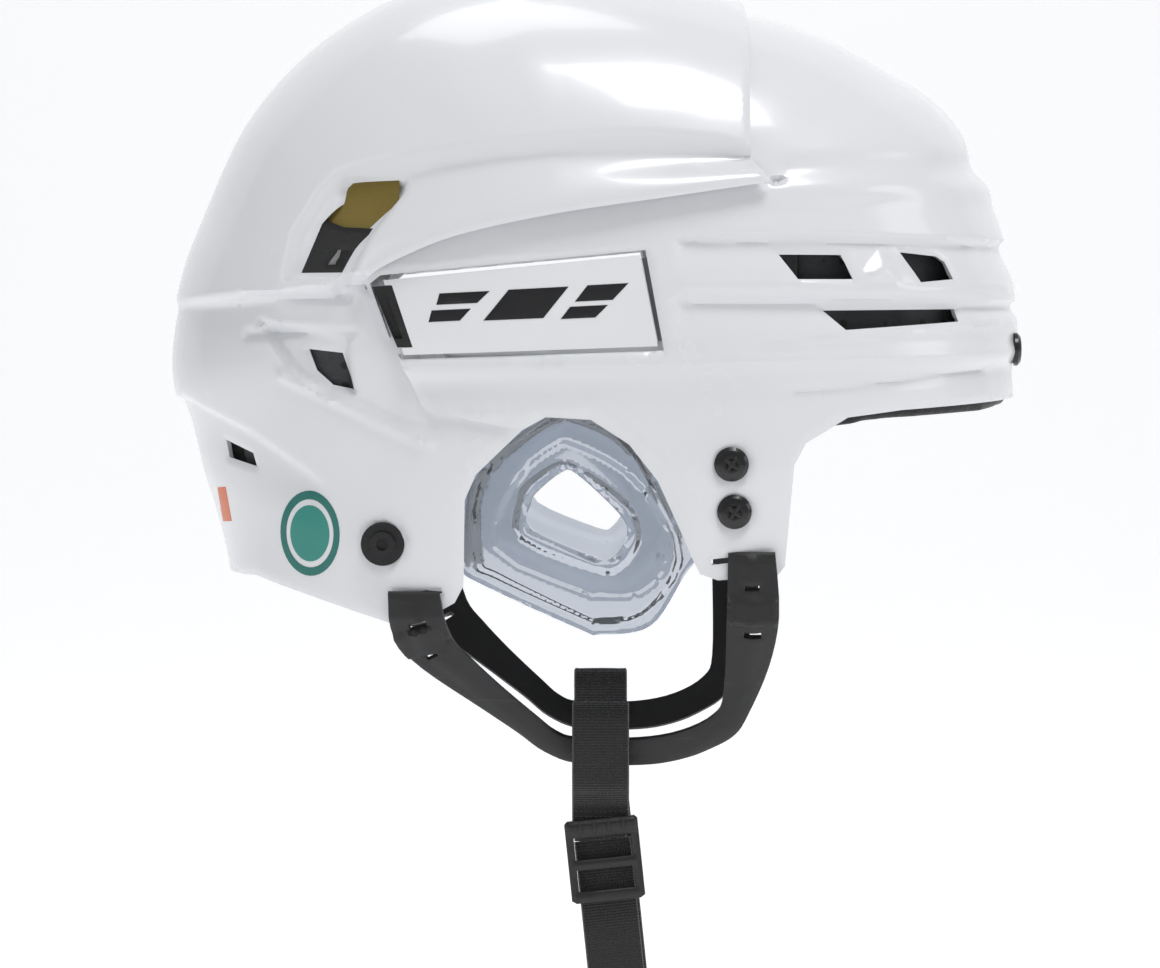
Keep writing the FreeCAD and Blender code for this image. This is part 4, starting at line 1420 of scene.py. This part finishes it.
def repeat_tree() -> bpy.types.NodeTree:
    """Return a geometry tree that sets evenly spaced rounded bars between two points.

    Returns:
        The geometry tree.
    """
    tree = bpy.data.node_groups.new("bar_row", "GeometryNodeTree")
    face = tree.interface
    face.new_socket("Geometry", in_out="INPUT", socket_type="NodeSocketGeometry")
    face.new_socket("Count", in_out="INPUT", socket_type="NodeSocketInt")
    face.new_socket("Start", in_out="INPUT", socket_type="NodeSocketVector")
    face.new_socket("End", in_out="INPUT", socket_type="NodeSocketVector")
    face.new_socket("Size", in_out="INPUT", socket_type="NodeSocketVector")
    face.new_socket("Turn", in_out="INPUT", socket_type="NodeSocketVector")
    face.new_socket("Material", in_out="INPUT", socket_type="NodeSocketMaterial")
    face.new_socket("Geometry", in_out="OUTPUT", socket_type="NodeSocketGeometry")
    nodes, links = tree.nodes, tree.links
    source, sink = nodes.new("NodeGroupInput"), nodes.new("NodeGroupOutput")
    line = nodes.new("GeometryNodeMeshLine")
    line.mode = "END_POINTS"
    bar = nodes.new("GeometryNodeMeshIcoSphere")
    bar.inputs["Radius"].default_value = 0.5
    bar.inputs["Subdivisions"].default_value = 2
    place = nodes.new("GeometryNodeInstanceOnPoints")
    real = nodes.new("GeometryNodeRealizeInstances")
    paint = nodes.new("GeometryNodeSetMaterial")
    links.new(source.outputs["Count"], line.inputs["Count"])
    links.new(source.outputs["Start"], line.inputs["Start Location"])
    links.new(source.outputs["End"], line.inputs["Offset"])
    links.new(line.outputs["Mesh"], place.inputs["Points"])
    links.new(bar.outputs["Mesh"], place.inputs["Instance"])
    links.new(source.outputs["Size"], place.inputs["Scale"])
    links.new(source.outputs["Turn"], place.inputs["Rotation"])
    links.new(place.outputs["Instances"], real.inputs["Geometry"])
    links.new(real.outputs["Geometry"], paint.inputs["Geometry"])
    links.new(source.outputs["Material"], paint.inputs["Material"])
    links.new(paint.outputs["Geometry"], sink.inputs["Geometry"])
    return tree


@dataclass
class BarRows:
    """Rows of small rounded bars, such as stitches and grip ribs, made with geometry nodes."""

    tree: bpy.types.NodeTree = field(default_factory=repeat_tree)

    def build(
        self, name: str, rows: Sequence[tuple[Sequence[float], Sequence[float]]], count: int,
        size: Sequence[float], turn: Sequence[float], material: bpy.types.Material,
    ) -> bpy.types.Object:
        """Make rows of bars as one plain mesh.

        Args:
            name: Name of the piece.
            rows: Start and end of each row, in millimetres.
            count: Bars in each row.
            size: Size of one bar, in millimetres.
            turn: Turn of each bar, in radians.
            material: Material of the bars.

        Returns:
            The finished piece.
        """
        whole = bmesh.new()
        for start, end in rows:
            carrier = mesh_object("row_carrier", np.zeros((1, 3)), [])
            rows_made = carrier.modifiers.new("rows", "NODES")
            rows_made.node_group = self.tree
            sockets = self.tree.interface.items_tree
            ids = {item.name: item.identifier for item in sockets if item.in_out == "INPUT"}
            rows_made[ids["Count"]] = count
            rows_made[ids["Start"]] = [v * MM for v in start]
            rows_made[ids["End"]] = [v * MM for v in end]
            rows_made[ids["Size"]] = [v * MM for v in size]
            rows_made[ids["Turn"]] = list(turn)
            rows_made[ids["Material"]] = material
            whole.from_mesh(baked(carrier).data)
            bpy.data.objects.remove(carrier)
        mesh = bpy.data.meshes.new(name)
        whole.to_mesh(mesh)
        whole.free()
        mesh.polygons.foreach_set("use_smooth", [True] * len(mesh.polygons))
        piece = bpy.data.objects.new(name, mesh)
        bpy.context.scene.collection.objects.link(piece)
        return piece


@dataclass
class Graphics:
    """Flat coloured graphics with no lettering: plain bars, a round decal and a label."""

    thick: float = 0.05
    proud: float = 0.16

    def patch(self, name: str, outline: Path, holes: tuple[Path, ...], target: bpy.types.Object, side: Side,
              color: tuple[float, float, float], body: str, effects: Effects) -> None:
        """Lay one coloured patch on a piece.

        Args:
            name: Name of the patch.
            outline: Side outline.
            holes: Outlines left open.
            target: Piece that it lies on.
            side: Wearer's side.
            color: Ink colour.
            body: Body that it rides on.
            effects: The shared shader groups.
        """
        raised = (Recess(((-300, -300), (300, -300), (300, 300), (-300, 300)), -self.proud, 0.001),)
        plate = Plate(name, outline, holes, raised, self.thick, conform(target), 1.4, 0.2, 0.05)
        ink = Finish(f"{name}_ink", color, 0.32, Pattern.PLAIN, 0.85, 0.02, wear=0.4)
        dress(plate.build(side), ink.material(effects), body)

    def build(self, shell: bpy.types.Object, effects: Effects) -> None:
        """Lay every graphic.

        Args:
            shell: The rear shell.
            effects: The shared shader groups.
        """
        lever = frame["nodes"]["right_lock_lever"]
        bars = (
            ((-49, 36.4), (-33, 37.2), (-37, 33.4), (-50, 32.8)),
            ((-51.5, 31), (-39, 31.6), (-42.5, 27.8), (-52.5, 27.3)),
            ((-27, 37.6), (-8, 38.6), (-16, 28.6), (-35, 27.8)),
            ((-2, 39), (11, 39.7), (6, 34.4), (-6, 33.8)),
            ((-7.5, 32.2), (4.5, 32.8), (0.5, 28.8), (-10.5, 28.3)),
        )
        for side in Side:
            for i, bar in enumerate(bars):
                body = f"{side.name.lower()}_lock"
                self.patch(f"{body}_bar_{i}", bar, (), lever, side, (0.01, 0.01, 0.011), body, effects)
        middle = (-91.8, -41.2)
        ring, inner, disc = (self.oval(middle, r) for r in (1.0, 0.8, 0.66))
        label = ((-124.6, -28), (-121.3, -27.4), (-119.6, -38.9), (-123.3, -39.6))
        for name, outline, holes, color in (
            ("decal_ring", ring, (inner,), (0.02, 0.19, 0.16)), ("decal_disc", disc, (), (0.04, 0.30, 0.25)),
            ("side_label", label, (), (0.75, 0.16, 0.04)),
        ):
            self.patch(name, outline, holes, shell, Side.RIGHT, color, "rear", effects)

    @staticmethod
    def oval(center: Point, share: float) -> Path:
        """Return one ring of the decal as it looks from the side, starting at its front.

        Args:
            center: Middle of the decal.
            share: Share of its full size.

        Returns:
            The outline.
        """
        turns = [2 * math.pi * i / 40 for i in range(40)]
        wide, high = 10 * share, 13.8 * share
        return tuple((center[0] + wide * math.cos(a), center[1] + high * math.sin(a)) for a in turns)


def buckle_lay(p: np.ndarray) -> np.ndarray:
    """Lay the buckle's points, which lean forwards with the webbing.

    Args:
        p: Points of the flat buckle with height, one row each.

    Returns:
        Points in millimetres, one row each.
    """
    lean = math.radians(6.0)
    x, z = p[:, 0], p[:, 1]
    return np.column_stack([-9.8 + x * math.cos(lean) - z * math.sin(lean), -66.6 - p[:, 2],
                            -136 + z * math.cos(lean) + x * math.sin(lean)])


@dataclass
class Webbing:
    """Flat woven webbing: a line in the YZ plane with rolled edges and a weave map."""

    width: float = 18.6
    thick: float = 1.5
    lean: float = 6.0

    def build(self, name: str, line: np.ndarray) -> bpy.types.Object:
        """Make one run of webbing along a line.

        Args:
            name: Name of the piece.
            line: Points (y, z) of the run's middle.

        Returns:
            The closed piece with its weave map.
        """
        run = np.concatenate([[0.0], np.cumsum(np.linalg.norm(np.diff(line, axis=0), axis=1))])
        count = int(run[-1] / 1.5) + 2
        s = np.linspace(0, run[-1], count)
        mid = np.column_stack([np.interp(s, run, line[:, k]) for k in (0, 1)])
        along = np.gradient(mid, axis=0)
        along /= np.linalg.norm(along, axis=1)[:, None]
        across = np.column_stack([along[:, 1], -along[:, 0]])
        half, t = self.width / 2, self.thick / 2
        ring = [
            (-half, 0), (-half + 0.5, t), (-half + 1.6, t * 0.85), (0, t), (half - 1.6, t * 0.85),
            (half - 0.5, t), (half, 0), (half - 0.5, -t), (half - 1.6, -t * 0.85), (0, -t),
            (-half + 1.6, -t * 0.85), (-half + 0.5, -t),
        ]
        verts, faces, coords = [], [], []
        turn = math.radians(self.lean)
        for i in range(count):
            for x, d in ring:
                y, z = mid[i] + across[i] * d
                dz = z + 136.0
                verts.append((2.2 + x * math.cos(turn) - dz * math.sin(turn), y,
                              -136 + dz * math.cos(turn) + x * math.sin(turn)))
        n = len(ring)
        for i in range(count - 1):
            for k in range(n):
                faces.append((i * n + k, i * n + (k + 1) % n, (i + 1) * n + (k + 1) % n, (i + 1) * n + k))
                coords.append((ring[k][0], s[i], ring[(k + 1) % n][0], s[i + 1]))
        faces.append(tuple(range(n))[::-1])
        faces.append(tuple(range((count - 1) * n, count * n)))
        piece = mesh_object(name, np.array(verts), faces)
        layer = piece.data.uv_layers.new(name="weave")
        for face, (x0, s0, x1, s1) in zip(piece.data.polygons, coords):
            for loop, place in zip(face.loop_indices, ((x0, s0), (x1, s0), (x1, s1), (x0, s1))):
                layer.data[loop].uv = place
        edit = bmesh.new()
        edit.from_mesh(piece.data)
        bmesh.ops.recalc_face_normals(edit, faces=edit.faces)
        edit.to_mesh(piece.data)
        edit.free()
        piece.data.set_sharp_from_angle(angle=math.radians(60))
        return piece


def chin_line() -> np.ndarray:
    """Return the middle line (y, z) of the chin webbing, from the buckle round to the snap.

    Returns:
        Points (y, z) in millimetres, one row each.
    """
    radius, left = 44.0, 64.45
    turns = np.linspace(0, math.pi / 2, 24)
    right_arc = [(-62 + radius * (1 - math.cos(a)), -186 - radius * math.sin(a)) for a in turns]
    left_arc = [(left - radius * (1 - math.sin(a)), -186 - radius * math.cos(a)) for a in turns]
    return np.array([(-62, -142), *right_arc, *left_arc, (left, -136)])


def loop_line(end: float) -> np.ndarray:
    """Return the middle line (y, z) of a sewn loop over a strap, about its own middle.

    Args:
        end: Height at which the loop meets the webbing.

    Returns:
        Points (y, z) in millimetres, one row each.
    """
    top = [(5.8 * math.sin(a), -103.1 + 5.8 * math.cos(a)) for a in np.linspace(-math.pi / 2, math.pi / 2, 20)]
    return np.array([(-0.8, end), (-0.8, -131), (-5.8, -123), *top, (5.8, -123), (0.85, -131), (0.85, end)])


class Helmet:
    """The whole helmet: builds each sub-assembly and dresses what stays."""

    def __init__(self) -> None:
        """Make the finishes and read which body each node has."""
        effects = Effects()
        self.materials = {slot: finish.material(effects) for slot, finish in FINISHES.items()}
        record = frame["record"]
        self.effects = effects
        self.bodies = {n: body for body, names in record["behaviour"]["bodies"].items() for n in names}

    def shells(self) -> None:
        """Build both shells."""
        pair = ((rear_shell(), "rear_shell", "rear"), (front_shell(), "front_shell", "front"))
        for shell, node, body in pair:
            piece = shell.build()
            dress(piece, self.materials["white_shell"], body, "white_shell", node)
            if body == "rear":
                Graphics().build(piece, self.effects)

    def pads(self) -> None:
        """Build every foam pad."""
        pads = FoamPads()
        for node, slot in PAD_SLOTS.items():
            pads.build(node, self.bodies[node], slot, self.materials[slot])

    def hardware(self) -> None:
        """Build the ear guards, the moulded straps and the chin webbing."""
        for side in Side:
            name = side.name.lower()
            guard = ear_guard(f"{name}_clear_guard").build(side)
            dress(guard, self.materials["clear_guard"], "front", "clear_guard", f"{name}_ear_guard")
            strap = side_strap(f"{name}_moulded_strap").build(side)
            strap.data.materials.append(self.materials["moulded_strap"])
            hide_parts(f"{name}_side_strap")
            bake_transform(strap)
        webbing = Webbing()
        chin = webbing.build("woven_chin_strap", chin_line())
        dress(chin, self.materials["webbing"], "chin_strap", "webbing", "chin_webbing")
        for side, end in ((Side.RIGHT, -140.0), (Side.LEFT, -158.0)):
            name = side.name.lower()
            upright = Webbing(lean=0.0)
            line = loop_line(end) + (62.0 * side.value, 0)
            loop = upright.build(f"{name}_sewn_loop", line)
            dress(loop, self.materials["webbing"], "chin_strap", "webbing", f"{name}_chin_loop")

    def buckle(self) -> None:
        """Build the ladder buckle with its ribbed bar, and the stitches of both loops."""
        frame_edge = ((1, 0), (23, 0), (24, -1), (24, -26), (22.5, -27), (1.5, -27), (0, -26), (0, -1))
        windows = (
            ((2.6, -5.6), (21.4, -5.6), (21.4, -13), (2.6, -13)),
            ((2.6, -16.2), (21.4, -16.2), (21.4, -23.4), (2.6, -23.4)),
        )
        relief = (Recess(((0.2, -0.2), (23.8, -0.2), (23.8, -4.8), (0.2, -4.8)), -0.6, 1.2),)
        plate = Plate("ladder_buckle", frame_edge, windows, relief, 2.6, buckle_lay, 0.9, 0.8)
        dress(plate.build(Side.RIGHT), self.materials["black_buckle"], "buckle", "black_buckle", "chin_buckle")
        rows = BarRows()
        lean = math.radians(6.0)
        start = (-4.5, -67.2, -137.9)
        ribs = rows.build("buckle_ribs", ((start, (9.5, -67.2, -136.4)),), 4, (1.6, 1.2, 4.2), (0, -lean, 0),
                          self.materials["black_buckle"])
        dress(ribs, self.materials["black_buckle"], "buckle", "black_buckle")
        thread = Finish("black_thread", (0.05, 0.05, 0.053), 0.6, Pattern.PLAIN, 0.7, 0.2)
        material = thread.material(self.effects)
        for side in Side:
            y = side.value * 63.75
            lines = tuple(((-5.6, y, z), (10.0, y, z)) for z in (-132.6, -134.4))
            name = f"{side.name.lower()}_stitches"
            sewn = rows.build(name, lines, 11, (1.1, 0.45, 0.45), (0, 0, 0), material)
            dress(sewn, material, "chin_strap", "webbing")

    def vent_shade_sheets(self) -> None:
        """Build dark sheets of painted shade under the rear vents, standing in for the shade in the vent
        openings.
        """
        shade_sheet_line = ((-99, 41.5), (-97.5, 46), (-86.5, 60), (-80, 57.5), (-70, 57), (-72, 52), (-79, 41.5))
        notch = ((-85, 45.6), (-80.4, 45.6), (-77.6, 50.2), (-81.6, 50.2))
        lay = skin_lay(Skin(BACK + REAR_TOP + SKIRT, REAR_HALF), 4.0)
        for side in Side:
            # Each plate is a dark sheet of painted shade behind a rear vent, with the notch left open to see
            # through.
            plate = Plate(f"{side.name.lower()}_vent_frame", shade_sheet_line, (notch,), (), 0.9, lay)
            dress(plate.build(side), self.materials["black_grip"], "rear", "black_grip")

    def crosses(self) -> None:
        """Cut-look cross slots on the four side screws, as small bars in each head painted darker than the
        head, as painted shade in the slots.
        """
        rows = BarRows()
        for side in Side:
            name = side.name.lower()
            low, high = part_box(f"{name}_side_screws")
            y = (low.y if side is Side.RIGHT else high.y) / MM
            for k, turn in enumerate((0.6, 0.6 + math.pi / 2)):
                spots = tuple(((x, y, z), (x, y, z)) for x, z in SIDE_SCREWS)
                # Painted shade: the bars take the darker grip finish, standing in for the shade in the cross
                # slots.
                bars = rows.build(f"{name}_screw_slot_{k}", spots, 1, (6.4, 0.5, 1.5), (0, turn, 0),
                                  self.materials["black_grip"])
                dress(bars, self.materials["black_grip"], "front", "black_hardware")

    def kept(self) -> None:
        """Give every node that stays its finish."""
        for node, slot in KEPT_SLOTS.items():
            piece = frame["nodes"][node]
            if not piece.material_slots:
                piece.data.materials.append(self.materials[slot])
            for place in piece.material_slots:
                place.material = self.materials[slot]


PAD_SLOTS: dict[str, str] = {
    "brow_pad": "black_foam", "rear_crown_pad": "dark_foam", "right_rear_pad": "dark_foam",
    "left_rear_pad": "dark_foam", "nape_pad": "dark_foam", "front_liner": "dark_foam",
    "right_temple_pad": "dark_foam", "left_temple_pad": "dark_foam", "front_crown_pad": "dark_foam",
}
KEPT_SLOTS: dict[str, str] = {
    "right_lock_lever": "white_lever", "left_lock_lever": "white_lever",
    "right_lock_grip": "black_grip", "left_lock_grip": "black_grip",
    "right_lock_pin": "steel", "left_lock_pin": "steel",
    "right_lock_rack": "grey_plastic", "left_lock_rack": "grey_plastic",
    "right_lock_bracket": "grey_plastic", "left_lock_bracket": "grey_plastic",
    "right_snap_stud": "black_hardware", "left_snap_stud": "black_hardware",
    "right_snap_washer": "steel", "left_snap_washer": "steel",
    "right_side_screws": "black_hardware", "left_side_screws": "black_hardware",
    "right_side_nuts": "steel", "left_side_nuts": "steel",
    "front_screws": "black_hardware", "front_nuts": "steel",
    "right_vent_insert": "gold_insert", "left_vent_insert": "gold_insert",
    "chin_snap_cap": "black_hardware", "chin_snap_post": "steel",
}


def main() -> None:
    """Build the scene in order."""
    logging.basicConfig(level=logging.INFO, format="%(message)s")
    Studio().build()
    helmet = Helmet()
    helmet.shells()
    helmet.pads()
    helmet.hardware()
    helmet.buckle()
    helmet.crosses()
    helmet.vent_shade_sheets()
    helmet.kept()
    bpy.context.view_layer.update()


if __name__ == "__main__":
    main()
